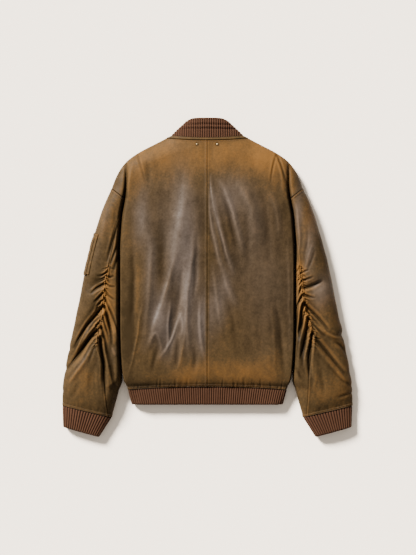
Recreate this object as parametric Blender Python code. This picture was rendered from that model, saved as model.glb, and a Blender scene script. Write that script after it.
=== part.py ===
"""Leather bomber jacket, laid face down on a flat surface with its back up.

Units are metres. +X is the right-hand side seen from above, +Y runs towards the collar and +Z is up.
The jacket lies on z = 0. Every cloth piece is a wall cut out of one of a few continuous surfaces
(body, sleeve, neck, hem, cuff), so that pieces which are sewn together share their seam points.
"""
import math

import bpy
import mathutils.kdtree
import numpy as np

# ---------------------------------------------------------------- driving dimensions
LEATHER = 0.0020            # wall of a leather panel
RIB = 0.0030                # wall of the rib knit at hem and cuffs
COLLAR_RIB = 0.0036         # wall of the doubled rib collar
SEAM_GAP = 0.00015          # each piece stops this far from the seam line
SAME_POINT = 0.00080        # border points this near belong to one stitch line
EDGE_HEIGHT = 0.0135        # height of the folded outline above the surface
UNDER_RADIUS = 0.0140       # rounding from the folded edge down to the flat underside
ZIP_HALF = 0.0060           # half the opening between the two fronts

HEM_CENTRE_Y = -0.2834      # hem seam at centre back
HEM_SIDE_Y = -0.2920        # hem seam at the side fold
HEM_BOTTOM_Y = -0.3302      # lower edge of the hem rib
HEM_HALF = 0.2065           # half width at the hem seam
HEM_BOTTOM_HALF = 0.1965    # half width at the lower edge of the rib
NECK_BACK_Y = 0.3550        # back panels end here at centre back
NECK_FRONT_Y = 0.2850       # front panels end here at centre front
NECK_SIDE_Y = 0.3620        # both end here at the shoulder fold
BAND = 0.0060               # width of the leather band under the collar
COLLAR_HALF_BASE = 0.0950
COLLAR_HALF_TOP = 0.0520
COLLAR_SIDE_RISE = 0.0409  # how far the collar's sides rise above its seam
COLLAR_TOP_Y = 0.4147
COLLAR_FRONT_TOP_Y = 0.3450

ARM_OUT_Y = 0.2320          # armhole seam on the outline
ARM_IN_Y = 0.2050           # armhole seam where it reaches the body crease
SEAM_MEETS_ARM_Y = 0.1680   # ruched sleeve seam leaves the armhole seam
UNDERARM_Y = 0.0750         # lowest point of the armhole
CUFF_OUT_Y = -0.3336        # cuff seam on the outline
CUFF_IN_Y = -0.3635         # cuff seam on the inner fold
CUFF_END_OUT = (0.3750, -0.3886)
CUFF_END_IN = (0.2810, -0.4147)

# Outline of the laid jacket from shoulder to cuff: distance up the back, half width,
# and the radius over which the top sheet rounds up from that edge.
OUTLINE = (
    # y       half     round
    (-0.345, 0.3765, 0.064),
    (-0.300, 0.3770, 0.072),
    (-0.246, 0.3705, 0.071),
    (-0.183, 0.3585, 0.067),
    (-0.121, 0.3460, 0.060),
    (-0.059, 0.3330, 0.053),
    (0.004, 0.3205, 0.047),
    (0.066, 0.3055, 0.040),
    (0.129, 0.2885, 0.034),
    (0.191, 0.2675, 0.036),
    (0.233, 0.2480, 0.044),
    (0.264, 0.2360, 0.050),
    (0.285, 0.2235, 0.053),
    (0.306, 0.2050, 0.055),
    (0.326, 0.1755, 0.055),
    (0.347, 0.1350, 0.055),
    (0.368, 0.0950, 0.055),
)

# Crease between body and sleeve: edge of the body, edge of the sleeve, how far the crease floor
# stands up from the folded edge (0) to the crown (1), and the rounding radius on either side.
CREASE = (
    # y       body     sleeve   floor  body_round  sleeve_round
    (-0.380, 0.2065, 0.2525, 0.00, 0.050, 0.066),
    (-0.350, 0.2065, 0.2450, 0.00, 0.050, 0.064),
    (-0.308, 0.2065, 0.2335, 0.00, 0.050, 0.070),
    (-0.292, 0.2065, 0.2293, 0.00, 0.034, 0.070),
    (-0.266, 0.2165, 0.2218, 0.00, 0.050, 0.072),
    (-0.215, 0.2228, 0.2246, 0.00, 0.064, 0.070),
    (-0.120, 0.2262, 0.2274, 0.00, 0.070, 0.060),
    (0.020, 0.2262, 0.2274, 0.00, 0.070, 0.047),
    (0.060, 0.2268, 0.2277, 0.00, 0.068, 0.041),
    (0.075, 0.2272, 0.2277, 0.02, 0.066, 0.039),
    (0.120, 0.2250, 0.2255, 0.36, 0.052, 0.034),
    (0.165, 0.2210, 0.2215, 0.46, 0.040, 0.030),
    (0.205, 0.2140, 0.2149, 0.50, 0.028, 0.024),
    (0.250, 0.2100, 0.2104, 0.78, 0.026, 0.026),
    (0.290, 0.2110, 0.2114, 1.00, 0.026, 0.026),
)

# Height of the top sheet: at the centre of the body, near its sides and shoulders.
BODY_CROWN = (
    # y       centre   side
    (-0.300, 0.0275, 0.0255),
    (-0.286, 0.0300, 0.0275),
    (-0.272, 0.0390, 0.0350),
    (-0.250, 0.0450, 0.0400),
    (-0.150, 0.0500, 0.0430),
    (0.000, 0.0540, 0.0450),
    (0.150, 0.0540, 0.0440),
    (0.215, 0.0520, 0.0420),
    (0.300, 0.0440, 0.0380),
    (0.355, 0.0370, 0.0340),
)

# Height of the sleeve's top sheet by the share of its length from armhole to cuff.
SLEEVE_CROWN = (
    # share  crown
    (0.00, 0.0420),
    (0.20, 0.0430),
    (0.45, 0.0460),
    (0.70, 0.0450),
    (0.88, 0.0430),
    (0.95, 0.0380),
    (1.00, 0.0290),
)

# Ruched seam down the back of each sleeve.
RUCHED_SEAM = {
    "left": (
        # y       x
        (-0.368, 0.2560),
        (-0.314, 0.2620),
        (-0.212, 0.2715),
        (-0.178, 0.2840),
        (-0.145, 0.2815),
        (-0.105, 0.2765),
        (-0.035, 0.2650),
        (0.025, 0.2555),
        (0.058, 0.2490),
        (0.121, 0.2350),
        (0.168, 0.2207),
    ),
    "right": (
        # y       x
        (-0.368, 0.2560),
        (-0.300, 0.2600),
        (-0.251, 0.2620),
        (-0.188, 0.2680),
        (-0.152, 0.2715),
        (-0.113, 0.2620),
        (-0.058, 0.2490),
        (-0.022, 0.2450),
        (0.032, 0.2370),
        (0.100, 0.2300),
        (0.168, 0.2207),
    ),
}

# Large folds of the top sheet. Each runs from start over middle to end, fades at both ends,
# and stands up (height > 0) or sinks in (height < 0) over its width.
BODY_FOLDS = (
    # x0      y0      x1      y1      x2      y2      width   height
    (-0.047, 0.240, -0.066, 0.110, -0.100, -0.020, 0.030, 0.0070),
    (-0.100, -0.010, -0.108, -0.090, -0.150, -0.190, 0.024, 0.0060),
    (-0.045, 0.050, -0.052, -0.060, -0.048, -0.200, 0.020, 0.0045),
    (-0.171, 0.200, -0.150, 0.050, -0.165, -0.140, 0.020, 0.0055),
    (-0.074, 0.030, -0.078, -0.080, -0.092, -0.180, 0.018, -0.0050),
    (0.014, 0.235, 0.036, 0.120, 0.070, 0.000, 0.020, 0.0050),
    (0.072, 0.245, 0.110, 0.180, 0.122, 0.095, 0.026, 0.0055),
    (0.176, -0.068, 0.192, -0.160, 0.197, -0.250, 0.020, -0.0055),
)
SLEEVE_FOLDS = {
    "left": (
        # x0     y0      x1     y1      x2     y2      width  height
        (0.262, -0.010, 0.281, -0.016, 0.300, -0.030, 0.014, -0.0070),
        (0.266, -0.050, 0.286, -0.090, 0.334, -0.156, 0.015, -0.0100),
        (0.284, -0.134, 0.314, -0.170, 0.356, -0.226, 0.015, -0.0100),
        (0.258, -0.072, 0.249, -0.098, 0.243, -0.146, 0.012, -0.0070),
        (0.272, -0.150, 0.257, -0.190, 0.250, -0.226, 0.013, -0.0080),
    ),
    "right": (
        # x0     y0      x1     y1      x2     y2      width  height
        (0.252, -0.068, 0.282, -0.100, 0.306, -0.138, 0.015, -0.0100),
        (0.246, -0.005, 0.268, -0.022, 0.302, -0.008, 0.014, -0.0070),
        (0.270, -0.148, 0.304, -0.178, 0.346, -0.246, 0.016, -0.0100),
        (0.247, -0.092, 0.240, -0.130, 0.237, -0.166, 0.012, -0.0070),
        (0.262, -0.118, 0.255, -0.170, 0.250, -0.212, 0.013, -0.0080),
    ),
}

# Zip at centre front. The fronts lift a little around the slider, which lies under them.
ZIP_LIFT = 0.0050
ZIP_LIFT_Y = 0.3170
ZIP_LIFT_FLAT = 0.0250      # radius that is lifted all the way
ZIP_LIFT_END = 0.0560       # radius where the lift has gone
CHAIN_HALF = 0.0054
CHAIN_THICK = 0.0018
SLIDER_Y = 0.3275
SLIDER_HALF = (0.0050, 0.0055)
SLIDER_Z = (0.0036, 0.0084)
ARCH_HALF = (0.0010, 0.0048)
ARCH_Z = (0.0010, 0.0019)
PIVOT_Z = 0.00275
TAB_THICK = 0.0011
TAB_ARM_X = (0.0014, 0.0034)
TAB_WINDOW = 0.0085
TAB_LENGTH = 0.0270

STUD_X = 0.0262
STUD_Y = 0.3445
STUD_RADIUS = 0.0036
STUD_HEIGHT = 0.0022

LEATHER_COLOUR = (0.130, 0.070, 0.028)
RIB_COLOUR = (0.110, 0.050, 0.030)
BRASS_COLOUR = (0.420, 0.300, 0.150)


# ---------------------------------------------------------------- small maths
def curve(table, column, at):
    """Smooth curve through one column of a table whose first column rises. Slopes are averaged
    between neighbours and cut back where they would overshoot."""
    rows = np.array(table)
    keys, values = rows[:, 0], rows[:, column]
    steps = np.diff(keys)
    slopes = np.diff(values) / steps
    tangent = np.concatenate((slopes[:1], (slopes[:-1] + slopes[1:]) / 2, slopes[-1:]))
    flat = np.concatenate(([False], slopes[:-1] * slopes[1:] <= 0, [False]))
    tangent[flat] = 0.0
    at = np.asarray(at, dtype=float)
    place = np.clip(np.searchsorted(keys, at) - 1, 0, len(steps) - 1)
    step = steps[place]
    share = np.clip((at - keys[place]) / step, 0.0, 1.0)
    square, cube = share ** 2, share ** 3
    return (
        (2 * cube - 3 * square + 1) * values[place]
        + (cube - 2 * square + share) * step * tangent[place]
        + (3 * square - 2 * cube) * values[place + 1]
        + (cube - square) * step * tangent[place + 1]
    )


def ease(share):
    """0 to 1 with level ends."""
    share = np.clip(share, 0.0, 1.0)
    return share * share * (3 - 2 * share)


def quarter(distance, radius):
    """Quarter ellipse: 0 and upright at the edge, 1 and level from the radius on."""
    share = np.clip(distance / radius, 0.0, 1.0)
    return np.sqrt(1 - (1 - share) ** 2)


def folds(table, x, y):
    """Sum of folds. Each is a bent line with a bell-shaped section that fades at its ends."""
    total = np.zeros_like(x)
    for x0, y0, x1, y1, x2, y2, width, height in table:
        nearest = np.full_like(x, 1.0)
        along = np.zeros_like(x)
        for share in np.linspace(0, 1, 25):
            back = 1 - share
            bend_x = back * back * x0 + 2 * back * share * (2 * x1 - (x0 + x2) / 2) + share ** 2 * x2
            bend_y = back * back * y0 + 2 * back * share * (2 * y1 - (y0 + y2) / 2) + share ** 2 * y2
            gap = np.hypot(x - bend_x, y - bend_y)
            closer = gap < nearest
            nearest = np.where(closer, gap, nearest)
            along = np.where(closer, share, along)
        total += height * np.exp(-(nearest / width) ** 2) * np.sin(math.pi * (0.08 + 0.84 * along))
    return total


# ---------------------------------------------------------------- the laid sheets
def outline_distance(x, y):
    """Distance in from the outline, measured across and corrected for the outline's slope."""
    run = (curve(OUTLINE, 1, y + 0.002) - curve(OUTLINE, 1, y - 0.002)) / 0.004
    return np.maximum(curve(OUTLINE, 1, y) - x, 0.0) / np.sqrt(1 + run ** 2)


def top_height(x, y, edge, radius_column, crown):
    """Height of the top sheet. It rounds up from the outline and out of the side crease."""
    rise = quarter(outline_distance(x, y), curve(OUTLINE, 2, y))
    off_crease = np.abs(x - curve(CREASE, edge, y))
    clear = quarter(off_crease, curve(CREASE, radius_column, y))
    floor = curve(CREASE, 3, y)
    return EDGE_HEIGHT + (crown - EDGE_HEIGHT) * rise * (floor + (1 - floor) * clear)


def body_top(x, y, side):
    """Point of the back, side is -1 or 1 and x its distance from centre back."""
    centre = curve(BODY_CROWN, 1, y)
    near_side = curve(BODY_CROWN, 2, y)
    crown = near_side + (centre - near_side) * np.maximum(0.0, 1 - (x / 0.225) ** 2)
    height = top_height(x, y, 1, 4, crown)
    inside = ease((height - EDGE_HEIGHT) / 0.012)
    height = height + inside * folds(BODY_FOLDS, side * x, y)
    return np.stack((side * x, y, height), axis=-1)


def sleeve_top(x, y, share, side):
    """Point of the sleeve's top sheet, share runs from 0 at the armhole to 1 at the cuff."""
    height = top_height(x, y, 2, 5, curve(SLEEVE_CROWN, 1, share))
    inside = ease((height - EDGE_HEIGHT) / 0.016)
    table = SLEEVE_FOLDS["left" if side < 0 else "right"]
    height = height + inside * folds(table, x, y)
    return np.stack((side * x, y, height), axis=-1)


def zip_lift(x, y):
    """Lift of the underside around the zip slider."""
    reach = np.hypot(x, y - ZIP_LIFT_Y)
    return ZIP_LIFT * ease((ZIP_LIFT_END - reach) / (ZIP_LIFT_END - ZIP_LIFT_FLAT))


def under(x, y, edge, side):
    """Point of the bottom sheet: flat on the surface, rounding up to the folded edges."""
    from_outline = outline_distance(x, y)
    from_crease = np.abs(x - curve(CREASE, edge, y))
    crease_edge = EDGE_HEIGHT * (1 - ease((y - UNDERARM_Y) / 0.040))
    height = EDGE_HEIGHT * (1 - quarter(from_outline, UNDER_RADIUS))
    height = height + crease_edge * (1 - quarter(from_crease, UNDER_RADIUS))
    return np.stack((side * x, y, height + zip_lift(x, y)), axis=-1)


# ---------------------------------------------------------------- body panels
# Side boundary of a body panel by the share of the way from hem to neck.
SHARE_UNDERARM = 0.46
SHARE_ARM_IN = 0.66
SHARE_ARM_OUT = 0.72
BACK_ROWS_Y = (
    # share  centre back  centre front
    (0.00, HEM_CENTRE_Y, HEM_CENTRE_Y),
    (SHARE_UNDERARM, 0.055, 0.040),
    (SHARE_ARM_IN, 0.180, 0.150),
    (SHARE_ARM_OUT, 0.215, 0.175),
    (1.00, NECK_BACK_Y, NECK_FRONT_Y),
)


def body_side(share):
    """Side boundary of the body: up the side fold, round the armhole, along the shoulder fold."""
    share = np.asarray(share, dtype=float)
    up_fold = HEM_SIDE_Y + (UNDERARM_Y - HEM_SIDE_Y) * share / SHARE_UNDERARM
    up_arm = (share - SHARE_UNDERARM) / (SHARE_ARM_IN - SHARE_UNDERARM)
    up_arm = UNDERARM_Y + (ARM_IN_Y - UNDERARM_Y) * up_arm
    fold_y = np.where(share <= SHARE_UNDERARM, up_fold, up_arm)
    fold_x = curve(CREASE, 1, fold_y)
    out = np.clip((share - SHARE_ARM_IN) / (SHARE_ARM_OUT - SHARE_ARM_IN), 0, 1)
    out_x = curve(CREASE, 1, ARM_IN_Y) * (1 - out) + curve(OUTLINE, 1, ARM_OUT_Y) * out
    out_y = ARM_IN_Y * (1 - out) + ARM_OUT_Y * out
    rise = np.clip((share - SHARE_ARM_OUT) / (1 - SHARE_ARM_OUT), 0, 1)
    shoulder_y = ARM_OUT_Y + (NECK_SIDE_Y - ARM_OUT_Y) * (1 - (1 - rise) ** 1.35)
    shoulder_x = curve(OUTLINE, 1, shoulder_y)
    x = np.where(share <= SHARE_ARM_IN, fold_x, np.where(share <= SHARE_ARM_OUT, out_x, shoulder_x))
    y = np.where(share <= SHARE_ARM_IN, fold_y, np.where(share <= SHARE_ARM_OUT, out_y, shoulder_y))
    return x, y


def row_y(column, share, across, side_y):
    """Rows bend from their height at the centre to the side boundary."""
    centre = curve(BACK_ROWS_Y, column, share)
    return centre + (side_y - centre) * across ** 2


def back_surface(side):
    """Back panel: u from centre back (0) to the side (1), v from hem to neck."""
    def surface(u, v):
        side_x, side_y = body_side(v)
        across = np.sin(u * math.pi / 2)
        return body_top(side_x * across, row_y(1, v, across, side_y), side)
    return surface


def front_surface(side):
    """Front panel: u from centre front (0) to the side (1), v from hem to neck."""
    def surface(u, v):
        side_x, side_y = body_side(v)
        rounding = UNDER_RADIUS * (1 - np.sin(np.clip(2 * u - 1, 0, 1) * math.pi / 2))
        flat = ZIP_HALF + (side_x - UNDER_RADIUS - ZIP_HALF) * np.clip(2 * u, 0, 1)
        x = np.where(u < 0.5, flat, side_x - rounding)
        return under(x, row_y(2, v, x / side_x, side_y), 1, side)
    return surface


# ---------------------------------------------------------------- sleeve panels
def sleeve_rows(share):
    """Outer and inner end of a row across the sleeve."""
    out_y = ARM_OUT_Y + (CUFF_OUT_Y - ARM_OUT_Y) * share
    in_y = ARM_IN_Y + (CUFF_IN_Y - ARM_IN_Y) * share
    return curve(OUTLINE, 1, out_y), out_y, curve(CREASE, 2, in_y), in_y


SHARE_SEAM = (ARM_IN_Y - SEAM_MEETS_ARM_Y) / (ARM_IN_Y - CUFF_IN_Y)
SHARE_LOW = (ARM_IN_Y - UNDERARM_Y) / (ARM_IN_Y - CUFF_IN_Y)


def seam_place(share, side):
    """How far across the row, from the inner fold, the ruched seam lies."""
    out_x, out_y, in_x, in_y = sleeve_rows(share)
    table = RUCHED_SEAM["left" if side < 0 else "right"]
    place = np.full_like(np.asarray(share, dtype=float), 0.2)
    for _ in range(6):
        seam_x = curve(table, 1, in_y + (out_y - in_y) * place)
        place = np.clip((seam_x - in_x) / (out_x - in_x), 0.0, 1.0)
    return np.where(share <= SHARE_SEAM, 0.0, place)


def under_seam_place(share):
    """How far across the row the plain seam of the underside lies."""
    return 0.34 * ease((share - SHARE_SEAM) / 0.22)


def sleeve_ring(turn, share, side):
    """Point of the sleeve's ring. turn runs from the inner fold (0) over the top to the outline (1)
    and back underneath (2)."""
    out_x, out_y, in_x, in_y = sleeve_rows(share)
    place = (1 - np.cos(turn * math.pi)) / 2
    x = in_x + (out_x - in_x) * place
    y = in_y + (out_y - in_y) * place
    above = (turn <= 1)[..., None]
    return np.where(above, sleeve_top(x, y, share, side), under(x, y, 2, side))


def top_turn(place):
    """Turn of a place across the top sheet."""
    return np.arccos(1 - 2 * np.clip(place, 0, 1)) / math.pi


def under_place(part, share, limit, from_outline):
    """Place across the underside: the first half of the way rounds down from the fold,
    the second runs flat to the seam."""
    out_x, _, in_x, _ = sleeve_rows(share)
    width = out_x - in_x
    rounding = np.minimum(UNDER_RADIUS / width, 0.45 * np.maximum(limit, 0.02))
    arc = rounding * (1 - np.cos(np.clip(2 * part, 0, 1) * math.pi / 2))
    flat = np.clip(2 * part - 1, 0, 1) * (limit - rounding)
    return 1 - arc - flat if from_outline else arc + flat


def outer_cut(side):
    """Outer sleeve piece: u from the ruched seam (0) over the outline (1) to the underside seam (2)."""
    def cut(u, v):
        seam = seam_place(v, side)
        on_top = np.clip(u, 0, 1)
        both = ease((0.20 - v) / (0.20 - SHARE_SEAM))
        spread = (1 - both) * np.sin(on_top * math.pi / 2) + both * (1 - np.cos(on_top * math.pi)) / 2
        above = top_turn(seam + (1 - seam) * spread)
        limit = 1 - under_seam_place(v)
        below = 2 - top_turn(under_place(np.clip(u - 1, 0, 1), v, limit, True))
        return np.where(u <= 1, above, below), v
    return cut


def inner_cut(side):
    """Inner sleeve piece: u from the ruched seam (0) over the inner fold (1) to the underside seam (2).
    Its first row runs along the armhole seam, down to the underarm point and back up."""
    def cut(u, v):
        seam_share = SHARE_SEAM + (1 - SHARE_SEAM) * v
        to_fold = 1 - np.abs(1 - u)
        share = seam_share + (1 - v) * (SHARE_LOW - SHARE_SEAM) * to_fold
        above = top_turn(seam_place(seam_share, side) * (1 - np.sin(np.clip(u, 0, 1) * math.pi / 2)))
        limit = under_seam_place(seam_share)
        below = 2 - top_turn(under_place(np.clip(u - 1, 0, 1), share, limit, False))
        return np.where(u <= 1, above, below), share
    return cut


# ---------------------------------------------------------------- neck, hem and cuffs
def neck_point(angle, level):
    """Ring round the neck. angle is 0 at centre back and +-pi at centre front; level is 0 at the
    panels' edge, 1 at the collar seam and 2 at the collar's top edge."""
    sine, cosine = np.abs(np.sin(angle)), np.cos(angle)
    back = cosine >= 0
    low = np.clip(level, 0, 1)
    high = np.clip(level - 1, 0, 1)
    panel_half = curve(OUTLINE, 1, NECK_SIDE_Y)
    half = panel_half + (COLLAR_HALF_BASE - panel_half) * low + (COLLAR_HALF_TOP - COLLAR_HALF_BASE) * high
    side_y = NECK_SIDE_Y + BAND * low + COLLAR_SIDE_RISE * high ** 0.92
    back_y = NECK_BACK_Y + BAND * low + (COLLAR_TOP_Y - NECK_BACK_Y - BAND) * high
    front_y = NECK_FRONT_Y + BAND * low + (COLLAR_FRONT_TOP_Y - NECK_FRONT_Y - BAND) * high
    zip_share = ZIP_HALF / panel_half
    beside_zip = ZIP_HALF + (half - ZIP_HALF) * (sine - zip_share) / (1 - zip_share)
    x = np.where(back, half * sine, beside_zip)
    square, flat_topped = cosine ** 2, 1 - sine ** 6
    y = side_y + (np.where(back, back_y, front_y) - side_y) * (square + high * (flat_topped - square))
    crown = curve(BODY_CROWN, 1, NECK_BACK_Y) - 0.0015 * low - 0.0060 * high
    arch = EDGE_HEIGHT + (crown - EDGE_HEIGHT) * np.abs(cosine) ** 0.9
    meet = body_top(x, np.minimum(y, NECK_SIDE_Y), 1)[..., 2]
    arch = meet * (1 - low) + arch * low
    flat = EDGE_HEIGHT * (1 - quarter(half - x, UNDER_RADIUS)) + zip_lift(x, y)
    return np.stack((np.sign(angle) * x, y, np.where(back, arch, flat)), axis=-1)


def hem_point(place, level):
    """Ring round the hem. place is -2 and 2 at centre front, -1 and 1 at the side folds and 0 at
    centre back; level is 0 at the seam and 1 at the lower edge."""
    half = HEM_HALF + (HEM_BOTTOM_HALF - HEM_HALF) * level
    turn = np.abs(place)
    back = turn <= 1
    on_back = half * np.sin(np.clip(turn, 0, 1) * math.pi / 2)
    down = np.clip(turn - 1, 0, 1)
    rounding = UNDER_RADIUS * (1 - np.cos(np.clip(2 * down, 0, 1) * math.pi / 2))
    inward = (half - UNDER_RADIUS - ZIP_HALF) * np.clip(2 * down - 1, 0, 1)
    x = np.where(back, on_back, half - rounding - inward)
    seam_y = HEM_CENTRE_Y + (HEM_SIDE_Y - HEM_CENTRE_Y) * (x / half) ** 2
    y = seam_y + (HEM_BOTTOM_Y - seam_y) * level
    edge = EDGE_HEIGHT - 0.0020 * level
    top = edge + (0.0250 - edge) * quarter(half - x, 0.034)
    flat = edge * (1 - quarter(half - x, UNDER_RADIUS))
    height = np.where(back, top, flat)
    meet_x = x * HEM_HALF / half
    meet_y = HEM_CENTRE_Y + (HEM_SIDE_Y - HEM_CENTRE_Y) * (meet_x / HEM_HALF) ** 2
    meet = np.where(back, body_top(meet_x, meet_y, np.sign(place))[..., 2], under(meet_x, meet_y, 1, 1)[..., 2])
    height = meet + (height - meet) * level
    return np.stack((np.sign(place) * x, y, height), axis=-1)


def cuff_point(turn, level, side):
    """Ring round the cuff. turn is 0 at the inner fold, 1 at the outline and 2 back at the inner
    fold under the sleeve; level is 0 at the seam and 1 at the lower edge."""
    out_x, out_y, in_x, in_y = sleeve_rows(1.0)
    across = (1 - np.cos(turn * math.pi)) / 2
    seam_x, seam_y = in_x + (out_x - in_x) * across, in_y + (out_y - in_y) * across
    end_x = CUFF_END_IN[0] + (CUFF_END_OUT[0] - CUFF_END_IN[0]) * across
    end_y = CUFF_END_IN[1] + (CUFF_END_OUT[1] - CUFF_END_IN[1]) * across
    x, y = seam_x + (end_x - seam_x) * level, seam_y + (end_y - seam_y) * level
    width = (out_x - in_x) * (1 - level) + (CUFF_END_OUT[0] - CUFF_END_IN[0]) * level
    from_edge = width * np.minimum(across, 1 - across)
    edge = EDGE_HEIGHT - 0.0015 * level
    top = edge + (0.0255 - edge) * np.sqrt(np.maximum(0.0, np.sin(turn * math.pi)))
    flat = edge * (1 - quarter(from_edge, UNDER_RADIUS))
    on_top = np.mod(turn, 2) <= 1
    meet = np.where(on_top, sleeve_top(seam_x, seam_y, 1.0, side)[..., 2],
                    under(seam_x, seam_y, 2, side)[..., 2])
    height = meet + (np.where(on_top, top, flat) - meet) * level
    return np.stack((side * x, y, height), axis=-1)


# ---------------------------------------------------------------- walls
def normals(surface, u, v, low, high):
    """Unit normals from small steps along both parameters, kept between low and high."""
    step = 1e-3
    left, right = np.maximum(u - step, low[0]), np.minimum(u + step, high[0])
    down, up = np.maximum(v - step, low[1]), np.minimum(v + step, high[1])
    normal = np.cross(surface(right, v) - surface(left, v), surface(u, up) - surface(u, down))
    return normal / np.maximum(np.linalg.norm(normal, axis=-1, keepdims=True), 1e-12)


def pull_in(points, wrap_u):
    """Moves the border points in by the seam gap."""
    moved = points.copy()
    pairs = [(moved[:, 0], points[:, 1]), (moved[:, -1], points[:, -2])]
    if not wrap_u:
        pairs += [(moved[0], points[1]), (moved[-1], points[-2])]
    for border, inner in pairs:
        away = inner - border
        border += SEAM_GAP * away / np.maximum(np.linalg.norm(away, axis=-1, keepdims=True), 1e-9)
    return moved


def sew(pieces):
    """Border points that several pieces share take one normal, so that walls meet face to face."""
    borders = []
    for piece in pieces:
        count_u, count_v = piece.points.shape[:2]
        for i in range(count_u):
            for j in range(count_v):
                on_u_border = not piece.wrap_u and i in (0, count_u - 1)
                if on_u_border or j in (0, count_v - 1):
                    borders.append((piece, i, j))
    tree = mathutils.kdtree.KDTree(len(borders))
    for number, (piece, i, j) in enumerate(borders):
        tree.insert(piece.points[i, j], number)
    tree.balance()
    shared = []
    for piece, i, j in borders:
        near = [borders[found[1]] for found in tree.find_range(piece.points[i, j], SAME_POINT)]
        total = sum(other.normals[a, b] for other, a, b in near)
        shared.append(total / np.linalg.norm(total))
    for (piece, i, j), normal in zip(borders, shared):
        piece.normals[i, j] = normal


def rim(outer_a, outer_b, inner_b, inner_a, points):
    """Triangles of a rim between two borders. The diagonal runs the same way on both sides of a
    seam, from the outer point that lies lower down the jacket."""
    key = points[:, 1] + 0.37 * points[:, 0]
    first = key[outer_a] < key[outer_b]
    one = np.where(first[:, None], np.stack((outer_a, outer_b, inner_b), -1),
                   np.stack((outer_a, outer_b, inner_a), -1))
    two = np.where(first[:, None], np.stack((outer_a, inner_b, inner_a), -1),
                   np.stack((outer_b, inner_b, inner_a), -1))
    return one.tolist() + two.tolist()


def wall_mesh(name, outer, inner, wrap_u, material):
    """Closed wall between two grids of points, indexed by u and then v."""
    count_u, count_v = outer.shape[:2]
    index = np.arange(count_u * count_v).reshape(count_u, count_v)
    if wrap_u:
        index = np.concatenate((index, index[:1]))
    second = index + count_u * count_v
    points = np.concatenate((outer.reshape(-1, 3), inner.reshape(-1, 3)))
    sheets = [(index[:-1, :-1], index[1:, :-1], index[1:, 1:], index[:-1, 1:]),
              (second[:-1, :-1], second[:-1, 1:], second[1:, 1:], second[1:, :-1])]
    faces = [face for sheet in sheets for face in np.stack(sheet, axis=-1).reshape(-1, 4).tolist()]
    faces += rim(index[1:, 0], index[:-1, 0], second[:-1, 0], second[1:, 0], points)
    faces += rim(index[:-1, -1], index[1:, -1], second[1:, -1], second[:-1, -1], points)
    if not wrap_u:
        faces += rim(index[0, :-1], index[0, 1:], second[0, 1:], second[0, :-1], points)
        faces += rim(index[-1, 1:], index[-1, :-1], second[-1, :-1], second[-1, 1:], points)
    volume = 0.0
    for face in faces:
        corners = points[face]
        for k in range(1, len(face) - 1):
            volume += corners[0] @ np.cross(corners[k], corners[k + 1])
    if volume < 0:
        faces = [face[::-1] for face in faces]
    return add_object(name, points, faces, material)


def add_object(name, points, faces, material):
    """Makes one named mesh object."""
    mesh = bpy.data.meshes.new(name)
    mesh.from_pydata(points.tolist(), [], [list(face) for face in faces])
    mesh.materials.append(material)
    mesh.update()
    made = bpy.data.objects.new(name, mesh)
    bpy.context.scene.collection.objects.link(made)
    return made


class Piece:
    """Grid of points of one cloth piece, with its outward normals."""

    def __init__(self, surface, us, vs, wall, up_at, wrap_u=False, cut=None):
        self.us, self.vs = np.array(us, dtype=float), np.array(vs, dtype=float)
        self.wall = wall
        self.wrap_u = wrap_u
        u, v = np.meshgrid(self.us, self.vs, indexing="ij")
        low = (-10.0 if wrap_u else self.us[0], self.vs[0])
        high = (10.0 if wrap_u else self.us[-1], self.vs[-1])
        if cut:
            u, v = cut(u, v)
            low = (np.where(u <= 1, 0.0, 1.0), 0.0)
            high = (np.where(u <= 1, 1.0, 2.0), 1.0)
        self.points = surface(u, v)
        self.normals = normals(surface, u, v, low, high)
        column = int(np.argmin(np.abs(self.us - up_at)))
        if self.normals[column, len(self.vs) // 2, 2] < 0:
            self.normals = -self.normals

    def square_off(self, place, across):
        """Turns the normals at a straight seam into the seam's upright plane."""
        across = np.array(across) / np.linalg.norm(across)
        normal = self.normals[place]
        flat = normal - (normal @ across)[..., None] * across
        self.normals[place] = flat / np.linalg.norm(flat, axis=-1, keepdims=True)

    def build(self, name, material):
        """Wall of the whole piece."""
        inner = self.points - self.wall * self.normals
        return wall_mesh(name, pull_in(self.points, self.wrap_u), pull_in(inner, self.wrap_u),
                         self.wrap_u, material)

    def overlay(self, name, rows, columns, lift, thick, material):
        """Wall made from some of the piece's points, moved out."""
        points = self.points[columns, rows]
        out = self.normals[columns, rows]
        return wall_mesh(name, points + (lift + thick) * out, points + lift * out, False, material)


# ---------------------------------------------------------------- hard pieces
def box_mesh(low, high):
    """Points and faces of a box."""
    points = np.array([(x, y, z) for x in (low[0], high[0]) for y in (low[1], high[1])
                       for z in (low[2], high[2])])
    faces = np.array([(0, 1, 3, 2), (4, 6, 7, 5), (0, 4, 5, 1), (2, 3, 7, 6), (0, 2, 6, 4), (1, 5, 7, 3)])
    return points, faces


def union(name, parts, material):
    """One object from boxes that overlap."""
    made = add_object(name, *box_mesh(*parts[0]), material)
    for number, part in enumerate(parts[1:]):
        tool = add_object(f"{name}_tool_{number}", *box_mesh(*part), material)
        tool.hide_render = True
        tool.display_type = "WIRE"
        join = made.modifiers.new(f"join_{number}", "BOOLEAN")
        join.operation = "UNION"
        join.object = tool
    return made


def zip_chain(material):
    """Closed chain with its tape edges, following the underside between the two fronts."""
    y = np.concatenate((np.linspace(HEM_BOTTOM_Y + 0.001, 0.250, 5), np.linspace(0.262, 0.3215, 10)))
    x = np.array([-CHAIN_HALF, CHAIN_HALF])
    grid_x, grid_y = np.meshgrid(x, y, indexing="ij")
    height = zip_lift(grid_x, grid_y)
    low = np.stack((grid_x, grid_y, height + 0.0002), axis=-1)
    return wall_mesh("zip_chain", low, low + np.array((0, 0, CHAIN_THICK)), False, material)


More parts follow.
